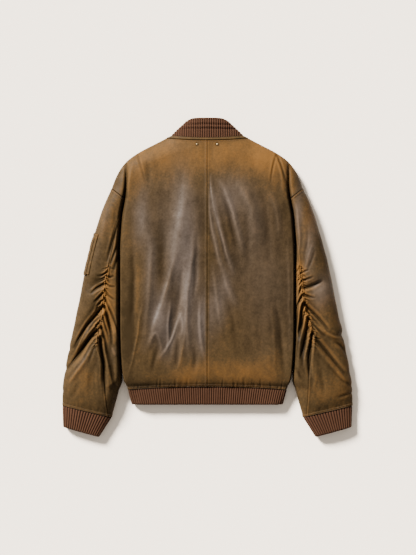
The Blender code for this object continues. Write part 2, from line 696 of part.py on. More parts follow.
def zip_slider(material):
    """Slider body with the arch that holds the pull tab."""
    near, far = SLIDER_Y - ARCH_HALF[1], SLIDER_Y + ARCH_HALF[1]
    foot = 0.0012
    parts = [
        ((-SLIDER_HALF[0], SLIDER_Y - SLIDER_HALF[1], SLIDER_Z[0]),
         (SLIDER_HALF[0], SLIDER_Y + SLIDER_HALF[1], SLIDER_Z[1])),
        ((-ARCH_HALF[0], near, ARCH_Z[0]), (ARCH_HALF[0], near + foot, SLIDER_Z[0] + 0.001)),
        ((-ARCH_HALF[0], far - foot, ARCH_Z[0]), (ARCH_HALF[0], far, SLIDER_Z[0] + 0.001)),
        ((-ARCH_HALF[0], near + foot / 2, ARCH_Z[0]), (ARCH_HALF[0], far - foot / 2, ARCH_Z[1])),
    ]
    return union("zip_slider", parts, material)


def zip_pull_tab(material):
    """Pull tab: a plate with a window whose end bar runs through the slider's arch. Its origin is
    on the hinge axis."""
    half = TAB_THICK / 2
    inner, outer = TAB_ARM_X
    parts = [
        ((-outer, -half, -half), (outer, half, half)),
        ((-outer, -TAB_WINDOW - 0.001, -half), (-inner, 0.0, half)),
        ((inner, -TAB_WINDOW - 0.001, -half), (outer, 0.0, half)),
        ((-outer, -TAB_LENGTH, -half), (outer, -TAB_WINDOW, half)),
    ]
    tab = union("zip_pull_tab", parts, material)
    for thing in [tab] + [bpy.data.objects[f"zip_pull_tab_tool_{n}"] for n in range(3)]:
        thing.location = (0.0, SLIDER_Y, PIVOT_Z)
    return tab


def neck_stud(name, side, material):
    """Low domed stud under the collar: a turned profile standing on the back panel."""
    spot = body_top(np.array([STUD_X]), np.array([STUD_Y]), side)[0]
    near = [body_top(np.array([STUD_X + dx]), np.array([STUD_Y + dy]), side)[0]
            for dx, dy in ((0.002, 0.0), (0.0, 0.002))]
    up = np.cross(near[0] - spot, near[1] - spot) * side
    up /= np.linalg.norm(up)
    across = np.cross(up, (0.0, 1.0, 0.0))
    across /= np.linalg.norm(across)
    ahead = np.cross(up, across)
    sides, rings = 16, 4
    turn = np.arange(sides) * 2 * math.pi / sides
    around = np.cos(turn)[:, None] * across + np.sin(turn)[:, None] * ahead
    tilt = np.arange(rings) * math.pi / 2 / rings
    rows = [STUD_RADIUS * math.cos(a) * around + up * STUD_HEIGHT * math.sin(a) for a in tilt]
    base = spot + up * 0.0004
    points = np.concatenate([base + row for row in rows] + [[base], [base + up * STUD_HEIGHT]])
    faces = []
    for ring in range(rings - 1):
        for k in range(sides):
            after = (k + 1) % sides
            faces.append((ring * sides + k, ring * sides + after,
                          (ring + 1) * sides + after, (ring + 1) * sides + k))
    low, tip = rings * sides, rings * sides + 1
    last = (rings - 1) * sides
    faces += [((k + 1) % sides, k, low) for k in range(sides)]
    faces += [(last + k, last + (k + 1) % sides, tip) for k in range(sides)]
    made = bpy.data.meshes.new(name)
    made.from_pydata(points.tolist(), [], faces)
    corners = [points[list(face)] for face in faces]
    volume = sum(np.dot(c[0], np.cross(c[k], c[k + 1])) for c in corners for k in range(1, len(c) - 1))
    if volume < 0:
        made.flip_normals()
    made.materials.append(material)
    stud = bpy.data.objects.new(name, made)
    bpy.context.scene.collection.objects.link(stud)
    return stud


# ---------------------------------------------------------------- assembly
def material(name, colour, roughness, metallic):
    """Plain material of one piece."""
    made = bpy.data.materials.new(name)
    made.use_nodes = True
    shader = made.node_tree.nodes["Principled BSDF"]
    shader.inputs["Base Color"].default_value = (*colour, 1.0)
    shader.inputs["Roughness"].default_value = roughness
    shader.inputs["Metallic"].default_value = metallic
    return made


def leather(name):
    return material(f"{name}_leather", LEATHER_COLOUR, 0.45, 0.0)


def rib(name):
    return material(f"{name}_rib", RIB_COLOUR, 0.9, 0.0)


def brass(name):
    return material(f"{name}_brass", BRASS_COLOUR, 0.35, 1.0)


# Rows and columns of the grids. The armhole stations are shared by body and sleeves.
INNER_TOP = np.array([0.0, 0.30, 0.60, 0.82, 1.0])
ARM_ROWS = np.array([0.0, 0.5, 1.0]) * SHARE_SEAM


def body_rows():
    """Shares up the side of the body at which it has rows."""
    fold = SHARE_UNDERARM * np.array([0.0, 0.055, 0.13, 0.24, 0.37, 0.50, 0.63, 0.76, 0.88])
    low_y = ARM_IN_Y + (CUFF_IN_Y - ARM_IN_Y) * (SHARE_SEAM + (SHARE_LOW - SHARE_SEAM) * INNER_TOP[::-1])
    high_y = ARM_IN_Y + (CUFF_IN_Y - ARM_IN_Y) * ARM_ROWS[::-1]
    arm_y = np.concatenate((low_y, high_y[1:]))
    arm = SHARE_UNDERARM + (SHARE_ARM_IN - SHARE_UNDERARM) * (arm_y - UNDERARM_Y) / (ARM_IN_Y - UNDERARM_Y)
    out = np.array([(SHARE_ARM_IN + SHARE_ARM_OUT) / 2, SHARE_ARM_OUT])
    shoulder = SHARE_ARM_OUT + (1 - SHARE_ARM_OUT) * np.array([0.18, 0.36, 0.52, 0.68, 0.84, 1.0])
    return np.concatenate((fold, arm, out, shoulder))


ACROSS_BACK = np.array([0.0, 0.10, 0.20, 0.31, 0.42, 0.53, 0.64, 0.76, 0.88, 1.0])
ACROSS_FRONT = np.array([0.0, 0.25, 0.5, 0.66, 0.83, 1.0])
OUTER_ACROSS = np.array([0.0, 0.20, 0.40, 0.60, 0.80, 1.0, 1.17, 1.33, 1.5, 2.0])
INNER_ACROSS = np.concatenate((INNER_TOP, 2 - INNER_TOP[-2::-1]))
HANDS = ((-1, "left"), (1, "right"))


def arm_seam_across(side):
    """Level direction square to the straight stretch of the armhole seam near the outline."""
    run_x = curve(OUTLINE, 1, ARM_OUT_Y) - curve(CREASE, 1, ARM_IN_Y)
    return (-side * (ARM_OUT_Y - ARM_IN_Y), run_x, 0.0)


def body_pieces():
    """Two back panels and two fronts."""
    rows = body_rows()
    arm_seam = slice(int(np.argmin(np.abs(rows - SHARE_ARM_IN))) + 1,
                     int(np.argmin(np.abs(rows - SHARE_ARM_OUT))) + 1)
    made = {}
    for side, hand in HANDS:
        back = Piece(back_surface(side), ACROSS_BACK, rows, LEATHER, 0.0)
        front = Piece(front_surface(side), ACROSS_FRONT, rows, LEATHER, 0.0)
        front.normals = -front.normals
        for piece in (back, front):
            piece.square_off((0,), (1.0, 0.0, 0.0))
            piece.square_off((-1, arm_seam), arm_seam_across(side))
        made[f"back_{hand}"] = back
        made[f"front_{hand}"] = front
    return made


def sleeve_pieces():
    """Outer and inner piece of each sleeve, with its cuff."""
    rest = np.linspace(SHARE_SEAM, 1.0, 30)[1:]
    outer_rows = np.concatenate((ARM_ROWS, rest))
    inner_rows = (np.concatenate(([SHARE_SEAM], rest)) - SHARE_SEAM) / (1 - SHARE_SEAM)
    made = {}
    for side, hand in HANDS:
        def ring(turn, share, side=side):
            return sleeve_ring(turn, share, side)

        outer = Piece(ring, OUTER_ACROSS, outer_rows, LEATHER, 0.4, cut=outer_cut(side))
        outer.square_off((slice(None), 0), arm_seam_across(side))
        inner = Piece(ring, INNER_ACROSS, inner_rows, LEATHER, 0.3, cut=inner_cut(side))
        made[f"sleeve_{hand}_outer"] = outer
        made[f"sleeve_{hand}_inner"] = inner

        def cuff(u, v, side=side):
            return cuff_point(u, v, side)
        around = cuff_turns(outer, inner)
        made[f"cuff_{hand}"] = Piece(cuff, around, (0.0, 0.5, 1.0), RIB, 0.5, wrap_u=True)
    return made


def cuff_turns(outer, inner):
    """Turns round the cuff that meet the columns of the two sleeve pieces."""
    out_x, _, in_x, _ = sleeve_rows(1.0)
    turns = []
    for piece in (inner, outer):
        across = np.clip((np.abs(piece.points[:, -1, 0]) - in_x) / (out_x - in_x), 0, 1)
        turn = np.arccos(1 - 2 * across) / math.pi
        turns.append(np.where(piece.us > 1, 2 - turn, turn))
    turns = np.mod(np.round(np.concatenate(turns), 6), 2.0)
    return np.unique(turns)


def rib_pieces():
    """Collar with its leather band, and the hem rib."""
    rows_x = Piece(front_surface(1), ACROSS_FRONT, (0.99, 1.0), LEATHER, 0.0).points[:, -1, 0]
    flat_x = curve(OUTLINE, 1, NECK_SIDE_Y)
    front = math.pi - np.arcsin(np.clip(rows_x / flat_x, 0.0, 1.0))
    back = np.arcsin(np.sin(ACROSS_BACK * math.pi / 2))
    half = np.concatenate((back, front[-2::-1]))
    around = np.concatenate((-half[:0:-1], half))
    turn = np.concatenate((ACROSS_BACK, 2 - ACROSS_FRONT[-2::-1]))
    turns = np.concatenate((-turn[:0:-1], turn))
    made = {"collar_band": Piece(neck_point, around, (0.0, 1.0), LEATHER, 0.0)}
    made["collar_rib"] = Piece(neck_point, around, (1.0, 1.34, 1.67, 2.0), COLLAR_RIB, 0.0)
    made["hem_rib"] = Piece(hem_point, turns, (0.0, 0.5, 1.0), RIB, 0.0)
    return made


def build_cloth():
    """Sews the cloth pieces and builds their walls, then what lies on them."""
    pieces = {**body_pieces(), **sleeve_pieces(), **rib_pieces()}
    sew(pieces.values())
    for name, piece in pieces.items():
        piece.build(name, rib(name) if "rib" in name or "cuff" in name else leather(name))
    arm = pieces["sleeve_left_outer"]
    arm.overlay("sleeve_pocket", slice(6, 13), slice(3, 7), 0.0003, 0.0018, leather("sleeve_pocket"))
    arm.overlay("sleeve_pocket_welt", slice(7, 13), slice(4, 6), 0.0024, 0.0016,
                leather("sleeve_pocket_welt"))


def build_trim():
    """Zip and studs."""
    zip_chain(brass("zip_chain"))
    zip_slider(brass("zip_slider"))
    zip_pull_tab(brass("zip_pull_tab"))
    neck_stud("stud_left", -1, brass("stud_left"))
    neck_stud("stud_right", 1, brass("stud_right"))


def main():
    for thing in list(bpy.data.objects):
        bpy.data.objects.remove(thing, do_unlink=True)
    build_cloth()
    build_trim()


main()
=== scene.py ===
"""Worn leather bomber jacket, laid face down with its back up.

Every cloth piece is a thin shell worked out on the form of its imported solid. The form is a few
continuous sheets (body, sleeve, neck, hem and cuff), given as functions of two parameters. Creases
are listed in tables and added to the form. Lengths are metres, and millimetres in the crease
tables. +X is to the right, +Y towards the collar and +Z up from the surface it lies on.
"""
import logging
import math
from dataclasses import dataclass
from enum import Enum
from typing import Callable, Sequence

import bpy
import numpy as np
from bpy.types import Material, Node, NodeSocket, NodeTree, Object
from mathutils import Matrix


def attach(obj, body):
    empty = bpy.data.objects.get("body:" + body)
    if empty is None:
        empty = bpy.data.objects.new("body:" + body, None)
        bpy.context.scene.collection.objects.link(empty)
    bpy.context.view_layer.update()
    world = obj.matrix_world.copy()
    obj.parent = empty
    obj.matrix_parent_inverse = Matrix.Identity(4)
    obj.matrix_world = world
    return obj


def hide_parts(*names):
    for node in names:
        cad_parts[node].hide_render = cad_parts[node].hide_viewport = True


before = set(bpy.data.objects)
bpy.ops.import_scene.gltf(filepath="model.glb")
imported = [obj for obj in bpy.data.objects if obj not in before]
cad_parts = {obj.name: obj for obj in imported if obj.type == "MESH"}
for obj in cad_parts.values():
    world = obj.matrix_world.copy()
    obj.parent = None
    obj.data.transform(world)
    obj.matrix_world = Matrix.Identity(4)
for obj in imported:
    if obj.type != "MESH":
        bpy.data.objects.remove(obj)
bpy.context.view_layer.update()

LOG = logging.getLogger("jacket")
MM = 0.001
Array = np.ndarray
Table = Sequence[Sequence[float]]


class Hand(Enum):
    """Side of the laid jacket, by the sign of X."""

    LEFT = -1
    RIGHT = 1

    @property
    def word(self) -> str:
        """Name used in the pieces' names."""
        return self.name.lower()


class Edge(Enum):
    """One border of a cloth grid."""

    FIRST_U = "first u"
    LAST_U = "last u"
    FIRST_V = "first v"
    LAST_V = "last v"


# ---- tables of the form
OUTLINE = (
    # y half round
    (-0.345, 0.3765, 0.064), (-0.3, 0.377, 0.072), (-0.246, 0.3705, 0.071), (-0.183, 0.3585, 0.067),
    (-0.121, 0.346, 0.06), (-0.059, 0.333, 0.053), (0.004, 0.3205, 0.047), (0.066, 0.3055, 0.04),
    (0.129, 0.2885, 0.034), (0.191, 0.2675, 0.036), (0.233, 0.248, 0.044), (0.264, 0.236, 0.05),
    (0.285, 0.2235, 0.053), (0.306, 0.205, 0.055), (0.326, 0.1755, 0.055), (0.347, 0.135, 0.055),
    (0.368, 0.095, 0.055),
)
CREASE = (
    # y body sleeve floor body_round sleeve_round
    (-0.38, 0.2065, 0.2525, 0.0, 0.0067, 0.042), (-0.35, 0.2065, 0.245, 0.0, 0.0067, 0.041),
    (-0.308, 0.2065, 0.2335, 0.0, 0.0067, 0.045), (-0.292, 0.2065, 0.2293, 0.0, 0.0062, 0.045),
    (-0.266, 0.2172, 0.2211, 0.0, 0.0055, 0.02), (-0.215, 0.2235, 0.224, 0.0, 0.0056, 0.013),
    (-0.12, 0.2266, 0.227, 0.0, 0.0054, 0.011), (0.02, 0.2266, 0.227, 0.0, 0.0054, 0.01),
    (0.06, 0.227, 0.2275, 0.0, 0.0054, 0.01), (0.075, 0.2272, 0.2277, 0.02, 0.0054, 0.01),
    (0.12, 0.225, 0.2255, 0.36, 0.0073, 0.012), (0.165, 0.221, 0.2215, 0.46, 0.0062, 0.011),
    (0.205, 0.214, 0.2149, 0.5, 0.0062, 0.008), (0.25, 0.21, 0.2104, 0.78, 0.0062, 0.022),
    (0.29, 0.211, 0.2114, 1.0, 0.0062, 0.022),
)
BODY_CROWN = (
    # y centre side
    (-0.3, 0.0275, 0.0255), (-0.286, 0.03, 0.0275), (-0.272, 0.039, 0.035), (-0.25, 0.045, 0.04),
    (-0.15, 0.05, 0.043), (0.0, 0.054, 0.045), (0.15, 0.054, 0.044), (0.215, 0.052, 0.042),
    (0.3, 0.044, 0.038), (0.355, 0.037, 0.034),
)
SLEEVE_CROWN = (
    # share crown
    (0.0, 0.042), (0.2, 0.043), (0.45, 0.046), (0.7, 0.045), (0.88, 0.043),
    (0.95, 0.038), (1.0, 0.029),
)
RUCHED_SEAM = {
    Hand.LEFT: (
        # y x
        (-0.368, 0.256), (-0.314, 0.262), (-0.212, 0.2715), (-0.178, 0.284),
        (-0.145, 0.2815), (-0.105, 0.2765), (-0.035, 0.265), (0.025, 0.2555), (0.058, 0.249),
        (0.121, 0.235), (0.168, 0.2207),
    ),
    Hand.RIGHT: (
        (-0.368, 0.256), (-0.3, 0.26), (-0.251, 0.262), (-0.188, 0.268),
        (-0.152, 0.2715), (-0.113, 0.262), (-0.058, 0.249), (-0.022, 0.245), (0.032, 0.237),
        (0.1, 0.23), (0.168, 0.2207),
    ),
}
BACK_ROWS_Y = (
    # share centre back centre front
    (0.0, -0.2834, -0.2834), (0.46, 0.055, 0.04), (0.66, 0.18, 0.15), (0.72, 0.215, 0.175),
    (1.0, 0.355, 0.285),
)

# Large folds that the solids have too: start, middle and end point, width and height, in metres.
BODY_FOLDS = (
    # x0 y0 x1 y1 x2 y2 width height
    (-0.047, 0.24, -0.066, 0.11, -0.1, -0.02, 0.03, 0.007),
    (-0.1, -0.01, -0.108, -0.09, -0.15, -0.19, 0.024, 0.006),
    (-0.045, 0.05, -0.052, -0.06, -0.048, -0.2, 0.02, 0.0045),
    (-0.171, 0.2, -0.15, 0.05, -0.165, -0.14, 0.02, 0.0055),
    (-0.074, 0.03, -0.078, -0.08, -0.092, -0.18, 0.018, -0.005),
    (0.014, 0.235, 0.036, 0.12, 0.07, 0.0, 0.02, 0.005),
    (0.072, 0.245, 0.11, 0.18, 0.122, 0.095, 0.026, 0.0055),
    (0.176, -0.068, 0.192, -0.16, 0.197, -0.25, 0.02, -0.0055),
)
SLEEVE_FOLDS = {
    Hand.LEFT: (
        (0.262, -0.01, 0.281, -0.016, 0.3, -0.03, 0.014, -0.007),
        (0.266, -0.05, 0.286, -0.09, 0.334, -0.156, 0.015, -0.01),
        (0.284, -0.134, 0.314, -0.17, 0.356, -0.226, 0.015, -0.01),
        (0.258, -0.072, 0.249, -0.098, 0.243, -0.146, 0.012, -0.007),
        (0.272, -0.15, 0.257, -0.19, 0.25, -0.226, 0.013, -0.008),
    ),
    Hand.RIGHT: (
        (0.252, -0.068, 0.282, -0.1, 0.306, -0.138, 0.015, -0.01),
        (0.246, -0.005, 0.268, -0.022, 0.302, -0.008, 0.014, -0.007),
        (0.27, -0.148, 0.304, -0.178, 0.346, -0.246, 0.016, -0.01),
        (0.247, -0.092, 0.24, -0.13, 0.237, -0.166, 0.012, -0.007),
        (0.262, -0.118, 0.255, -0.17, 0.25, -0.212, 0.013, -0.008),
    ),
}

# ---- creases
# Millimetres: start, middle and end point, width, height and how sharp the section is (2 is a soft
# bell). Then, 0 where left out, the painted sheen that it carries (a painted grey highlight), its
# lean to one side, and whether it starts at full depth.
BACK_CREASES = (
    # x0 y0 x1 y1 x2 y2 width height sharp sheen lean start
    (-51, 238, -66, 162, -87, 40, 12, 1.8, 2, 0.5), (-32, 228, -27, 139, -40, 40, 10, 1.4, 2, 0.5),
    (-81, 72, -101, -16, -157, -186, 6.8, 2.5, 1.9, 1.4, 0.2),
    (-34, 66, -52, -64, -46, -194, 6.2, 2.4, 1.9, 1.4, -0.2),
    (-94, -58, -100, -136, -105, -186, 4, 1.8, 1.7, 1.5),
    (-149, -176, -132, -144, -116, -194, 3.5, 1.6, 1.6, 0.7),
    (-68, -92, -87, -150, -123, -209, 3.6, 2.3, 1.7, 1.8),
    (-71, -95, -63, -126, -70, -155, 3, 1.5, 1.6, 1.4),
    (-16, -58, -19, -118, -9, -207, 4.6, 2.3, 1.8, 1.8),
    (-165, 160, -158, 120, -150, 70, 9, 0.8, 2, 0.2),
    (-147, 103, -148, -14, -165, -181, 6.5, 1.6, 1.9, 0.7),
    (-167, -58, -178, -136, -204, -261, 3, 1.7, 1.5),
    (-58, -126, -63, -188, -80, -243, 3, 1.1, 1.5), (-75, -157, -77, -194, -83, -230, 6, -2.2, 1.8),
    (-123, 136, -115, 72, -123, -58, 11, -2.4, 2), (-63, 30, -71, -32, -81, -105, 6, -1.6, 2),
    (-27, 118, -29, 46, -35, -58, 5, -1.4, 1.9), (-128, -176, -136, -214, -144, -246, 5, -1.4, 1.9),
    (-37, -176, -32, -209, -35, -240, 6, -1.5, 2), (-196, 98, -191, -6, -198, -136, 6, -1.3, 2),
    (10, 264, 23, 162, 67, 9, 3.6, 2.3, 1.8, 2.4, 0.2),
    (7, 230, 11, 136, 43, 4, 3.2, 1.8, 1.8, 1.9), (43, 14, 56, -32, 77, -72, 5, 1.6, 1.9, 1.4),
    (26, 251, 54, 204, 93, 66, 4.4, 2.1, 1.8, 1.8, 0.2),
    (71, 246, 111, 194, 124, 82, 11, 2.4, 2, 0.8), (161, 222, 179, 173, 185, 103, 5, 1.5, 1.9, 0.5),
    (15, 214, 27, 144, 51, 40, 3.2, -1.6, 1.7), (36, 214, 56, 162, 75, 72, 5, -1.8, 1.8),
    (93, 162, 103, 110, 106, 20, 8, -1.6, 2), (142, 214, 153, 136, 158, 32, 9, -1.8, 2),
    (15, 40, 23, -32, 36, -136, 5, 1.3, 2, 0.6), (49, -58, 64, -110, 75, -176, 7, -1, 2),
    (111, -58, 121, -136, 127, -214, 9, 0.9, 2), (176, -58, 192, -176, 197, -261, 5.5, -1.5, 1.8),
    (163, -72, 173, -162, 176, -254, 5, 1, 2), (207, 110, 212, -32, 214, -188, 4, 0.9, 2, 0.3),
    (-192, 303, -200, 264, -207, 214, 5, 1.6, 1.8), (186, 300, 193, 259, 198, 212, 4, 1.3, 1.8),
    (-159, 306, -152, 274, -149, 238, 7, -1, 2),
)
# Seam lines of the shoulder shaping, as narrow grooves.
SHOULDER_SEAMS = (
    (-181, 319, -170, 282, -158, 243, 2.1, -1.8, 1.5, 0, 0, 1),
    (180, 323, 170, 288, 163, 243, 2.1, -2, 1.5, 0, 0, 1),
    (-177, 319, -166, 282, -154, 243, 2, 0.6, 2, 0, 0, 1),
    (176, 323, 166, 288, 159, 243, 2, 0.6, 2, 0, 0, 1),
    (181, 317, 193, 284, 208, 232, 2.6, -3.4, 1.4, 0, 0, 1),
)
SLEEVE_CREASES = {
    Hand.LEFT: (
        (-233, 140, -244, 92, -257, 44, 3.4, -2.4, 1.6),
        (-229, 96, -240, 64, -254, 25, 2.4, -1.2, 1.6), (-245, 180, -249, 136, -252, 72, 6, 0.8, 2),
        (-258, 212, -269, 150, -272, 98, 6, 0.9, 2, 0.4),
        (-228, 84, -232, 51, -244, 14, 3, -1.6, 1.6),
        (-258, 14, -270, 6, -287, 4, 2.6, -2.4, 1.4, 0, 0, 1),
        (-262, -17, -282, -26, -301, -43, 3.4, -4.4, 1.4, 0, 0.2, 1),
        (-266, -39, -279, -53, -295, -66, 2.8, -3.2, 1.4, 0, 0.2, 1),
        (-269, -58, -282, -73, -291, -90, 2.4, -2.6, 1.4, 0, 0, 1),
        (-271, -74, -310, -124, -349, -186, 4.6, -7.5, 1.3, 0, 0.25, 1),
        (-278, -98, -295, -117, -309, -144, 2.6, -3.6, 1.4, 0, 0.2, 1),
        (-281, -116, -295, -135, -310, -157, 2.6, -3.4, 1.4, 0, 0.2, 1),
        (-282, -131, -318, -176, -365, -238, 4.8, -8, 1.3, 0, 0.25, 1),
        (-285, -155, -302, -179, -322, -209, 2.8, -2.4, 1.4, 0, 0.2, 1),
        (-287, -176, -298, -196, -309, -220, 3, -1, 1.7, 0, 0, 1),
        (-289, -90, -315, -139, -341, -194, 3, 2.2, 1.7),
        (-297, -139, -326, -181, -357, -225, 3, 2, 1.7),
        (-305, -194, -331, -235, -360, -277, 5, 2, 1.9, 0.3),
        (-261, 4, -252, 1, -240, 6, 2.2, -2, 1.4, 0, 0, 1),
        (-263, -14, -253, -22, -237, -22, 2.2, -2.2, 1.4, 0, 0, 1),
        (-264, -32, -253, -46, -235, -58, 2.4, -2.4, 1.4, 0, 0, 1),
        (-265, -51, -252, -82, -233, -136, 2.6, -3.6, 1.4, 0, 0.2, 1),
        (-266, -74, -254, -116, -245, -178, 3.6, -6, 1.3, 0, -0.2, 1),
        (-270, -100, -261, -131, -254, -173, 2.4, -3.2, 1.4, 0, 0, 1),
        (-274, -124, -265, -157, -257, -204, 3, -4, 1.4, 0, 0, 1),
        (-259, -61, -245, -105, -231, -165, 3.4, 2.4, 1.7),
        (-244, -181, -240, -194, -235, -204, 4, 2, 1.8, 0.9),
        (-277, -157, -270, -214, -263, -308, 4.2, -8, 1.3, 0, 0.1, 1),
        (-268, -168, -259, -220, -246, -277, 4, 2.4, 1.8),
        (-282, -188, -283, -246, -280, -313, 5.5, 1, 2),
        (-300, -220, -305, -266, -305, -318, 6, -0.4, 2),
        (-248, -220, -245, -256, -237, -287, 4, -1, 1.9),
        (-331, -266, -341, -292, -354, -313, 6, -0.5, 2),
    ),
    Hand.RIGHT: (
        (228, 190, 236, 150, 237, 66, 3, 0.9, 1.9, 1), (258, 130, 256, 90, 249, 40, 3.6, -0.6, 1.9),
        (227, 130, 231, 90, 236, 40, 2.6, -0.8, 1.7),
        (272, 88, 264, 61, 254, 25, 3.2, 0.6, 1.9, 0.8),
        (278, 70, 269, 46, 257, 14, 3.2, -0.6, 1.8), (224, 98, 228, 66, 234, 32, 3, -1.1, 1.7),
        (241, 9, 251, 14, 264, 20, 2.2, -1.8, 1.4, 0, 0, 1),
        (244, -9, 258, -6, 277, 4, 2.4, -2, 1.4, 0, 0, 1),
        (246, -29, 270, -23, 301, -6, 3.6, -3, 1.5, 0, 0.2, 1),
        (248, -46, 262, -49, 280, -53, 2.6, -2.6, 1.4, 0, 0, 1),
        (252, -66, 282, -100, 318, -136, 4, -5.2, 1.4, 0, -0.25, 1),
        (257, -82, 272, -104, 293, -126, 2.4, -3, 1.4, 0, 0, 1),
        (261, -103, 280, -129, 306, -153, 3, -3.6, 1.4, 0, -0.2, 1),
        (265, -118, 279, -139, 296, -160, 2.4, -2.6, 1.4, 0, 0, 1),
        (270, -139, 303, -185, 366, -258, 4.6, -3.4, 1.6, 0, -0.25, 1),
        (288, -126, 319, -150, 345, -157, 4, 2, 1.8), (298, -194, 329, -230, 361, -277, 5, 2, 1.9),
        (342, -261, 358, -272, 376, -282, 3.4, -0.9, 1.8),
        (337, -308, 355, -304, 376, -296, 3.4, -0.7, 1.9),
        (329, -168, 345, -178, 361, -204, 4, -2, 1.6),
        (231, 17, 224, 13, 220, 12, 2, -1.4, 1.4, 0, 0, 1),
        (237, -4, 232, -17, 227, -40, 2.2, -2.2, 1.4, 0, 0, 1),
        (242, -25, 235, -43, 227, -72, 2.4, -2.8, 1.4, 0, 0, 1),
        (245, -44, 233, -74, 224, -144, 3.4, -5, 1.3, 0, 0.2, 1),
        (249, -66, 242, -95, 237, -157, 3.4, -6, 1.3, 0, 0.2, 1),
        (254, -87, 248, -105, 244, -136, 2.2, -3, 1.4, 0, 0, 1),
        (259, -105, 254, -144, 241, -214, 3.6, -6.5, 1.3, 0, 0.2, 1),
        (264, -126, 259, -157, 254, -188, 2.4, -3, 1.4, 0, 0, 1),
        (270, -144, 265, -194, 262, -261, 3.8, -7.5, 1.3, 0, 0.1, 1),
        (244, -56, 238, -90, 231, -150, 2.6, 2.4, 1.7),
        (253, -95, 246, -131, 236, -188, 2.6, 2.4, 1.7),
        (263, -131, 257, -176, 250, -235, 2.8, 2.2, 1.7),
        (225, -230, 233, -246, 244, -266, 5, -0.7, 2), (277, -176, 279, -228, 275, -298, 6, 1, 2),
        (293, -235, 296, -266, 298, -306, 6, -0.6, 2),
    ),
}
# Lighter (positive) and darker (negative) zones, in millimetres. Most are rubbed tan and wear that
# stayed dark. Some are painted light and painted shade: the right shoulder (172, 275) and the left
# sleeve's inner side (-247, -137) are lightened as painted light; (240, -140) and (240, -205) are
# a painted shadow of the body on the right sleeve; (196, -60) is painted shade on the back's right
# side.
WEAR_LIGHT_AND_SHADE_ZONES = (
    # x, y, reach_x, reach_y, amount
    (-110, 318, 115, 60, 0.38), (-10, 330, 75, 58, 0.14), (98, 326, 95, 58, 0.37),
    (150, 312, 60, 44, 0.24), (-178, 240, 26, 52, 0.22), (-268, 140, 14, 60, 0.12),
    (-240, 170, 16, 34, 0.16), (-263, -58, 10, 80, 0.42), (-246, -45, 14, 60, 0.26),
    (241, 0, 12, 46, 0.62), (256, -98, 13, 60, 0.32), (232, -80, 9, 55, 0.18),
    (268, 150, 26, 60, 0.22), (306, -58, 22, 44, 0.12), (-247, -137, 12, 44, 0.1),
    (240, -140, 9, 50, -0.2), (-318, -44, 18, 50, -0.14), (-196, -50, 11, 90, -0.24),
    (196, -60, 22, 110, -0.15), (-56, -250, 46, 34, 0.36), (-120, -262, 60, 14, 0.1),
    (98, -250, 100, 38, 0.4), (160, -235, 40, 34, 0.14), (0, -240, 30, 26, 0.12),
    (-318, -266, 34, 50, 0.24), (324, -300, 46, 38, 0.16), (-181, -80, 10, 120, 0.2),
    (-206, 80, 18, 110, 0.08), (-205, -145, 15, 90, -0.2), (-144, -90, 14, 52, -0.14),
    (-116, 110, 20, 90, -0.14), (-160, 160, 20, 60, -0.06), (-272, 40, 18, 46, -0.14),
    (-268, -240, 26, 60, -0.18), (240, -205, 28, 66, -0.2), (278, -220, 36, 66, -0.14),
    (203, 205, 9, 46, -0.12), (172, 275, 40, 50, 0.26), (214, 240, 16, 40, 0.22),
    (40, 60, 170, 120, -0.05), (150, -150, 50, 80, 0.03),
)
# Painted grey sheen, a painted highlight: broad areas, turned by an angle from the upright.
PAINTED_SHEEN_ZONES = (
    # x, y, across, along, angle, amount
    (-52, 60, 25, 165, -4, 0.8), (-82, 44, 20, 70, -6, 0.4), (-117, -120, 25, 74, -14, 0.7),
    (-12, -112, 17, 66, 6, 0.55), (-75, -97, 34, 74, -4, 0.34), (-144, 52, 15, 76, -4, 0.35),
    (-172, 160, 17, 66, 4, 0.42), (54, 205, 42, 50, 12, 0.42), (128, 160, 36, 84, 10, 0.08),
    (150, -20, 60, 160, 0, 0.16), (90, 60, 60, 120, 10, 0.08), (30, -60, 24, 74, 12, 0.45),
    (298, -34, 24, 40, 10, 0.6), (266, 88, 15, 70, 4, 0.45), (236, 176, 12, 54, 0, 0.42),
    (-100, 160, 60, 90, 0, 0.14),
)


# ---- small maths
def curve(table: Table, column: int, at: Array | float) -> Array:
    """Smooth curve through one column of a table, level where the column turns.

    Args:
        table: Rows of numbers, of which the first rises from row to row.
        column: Column to read.
        at: Values of the first column.

    Returns:
        The column's value at each place.
    """
    rows = np.array(table)
    keys, values = rows[:, 0], rows[:, column]
    steps = np.diff(keys)
    slopes = np.diff(values) / steps
    tangent = np.concatenate((slopes[:1], (slopes[:-1] + slopes[1:]) / 2, slopes[-1:]))
    tangent[np.concatenate(([False], slopes[:-1] * slopes[1:] <= 0, [False]))] = 0.0
    at = np.asarray(at, dtype=float)
    place = np.clip(np.searchsorted(keys, at) - 1, 0, len(steps) - 1)
    step = steps[place]
    share = np.clip((at - keys[place]) / step, 0.0, 1.0)
    square, cube = share ** 2, share ** 3
    return (
        (2 * cube - 3 * square + 1) * values[place]
        + (cube - 2 * square + share) * step * tangent[place]
        + (3 * square - 2 * cube) * values[place + 1]
        + (cube - square) * step * tangent[place + 1]
    )


def blend(first: Array | float, last: Array | float, share: Array | float) -> Array:
    """Value on the way from first (0) to last (1)."""
    return first + (last - first) * share


def grid(across: Array, along: Array) -> tuple[Array, Array]:
    """Both parameters of a grid, indexed by the first and then the second."""
    return tuple(np.meshgrid(across, along, indexing="ij"))


def ease(share: Array | float) -> Array:
    """Runs from 0 to 1 with level ends."""
    share = np.clip(share, 0.0, 1.0)
    return share * share * (3 - 2 * share)


def quarter(distance: Array, radius: Array | float) -> Array:
    """Quarter ellipse: 0 and upright at the edge, 1 and level from the radius on."""
    share = np.clip(distance / radius, 0.0, 1.0)
    return np.sqrt(1 - (1 - share) ** 2)


def bell(distance: Array, width: float) -> Array:
    """Bell curve of height 1."""
    return np.exp(-((distance / width) ** 2))


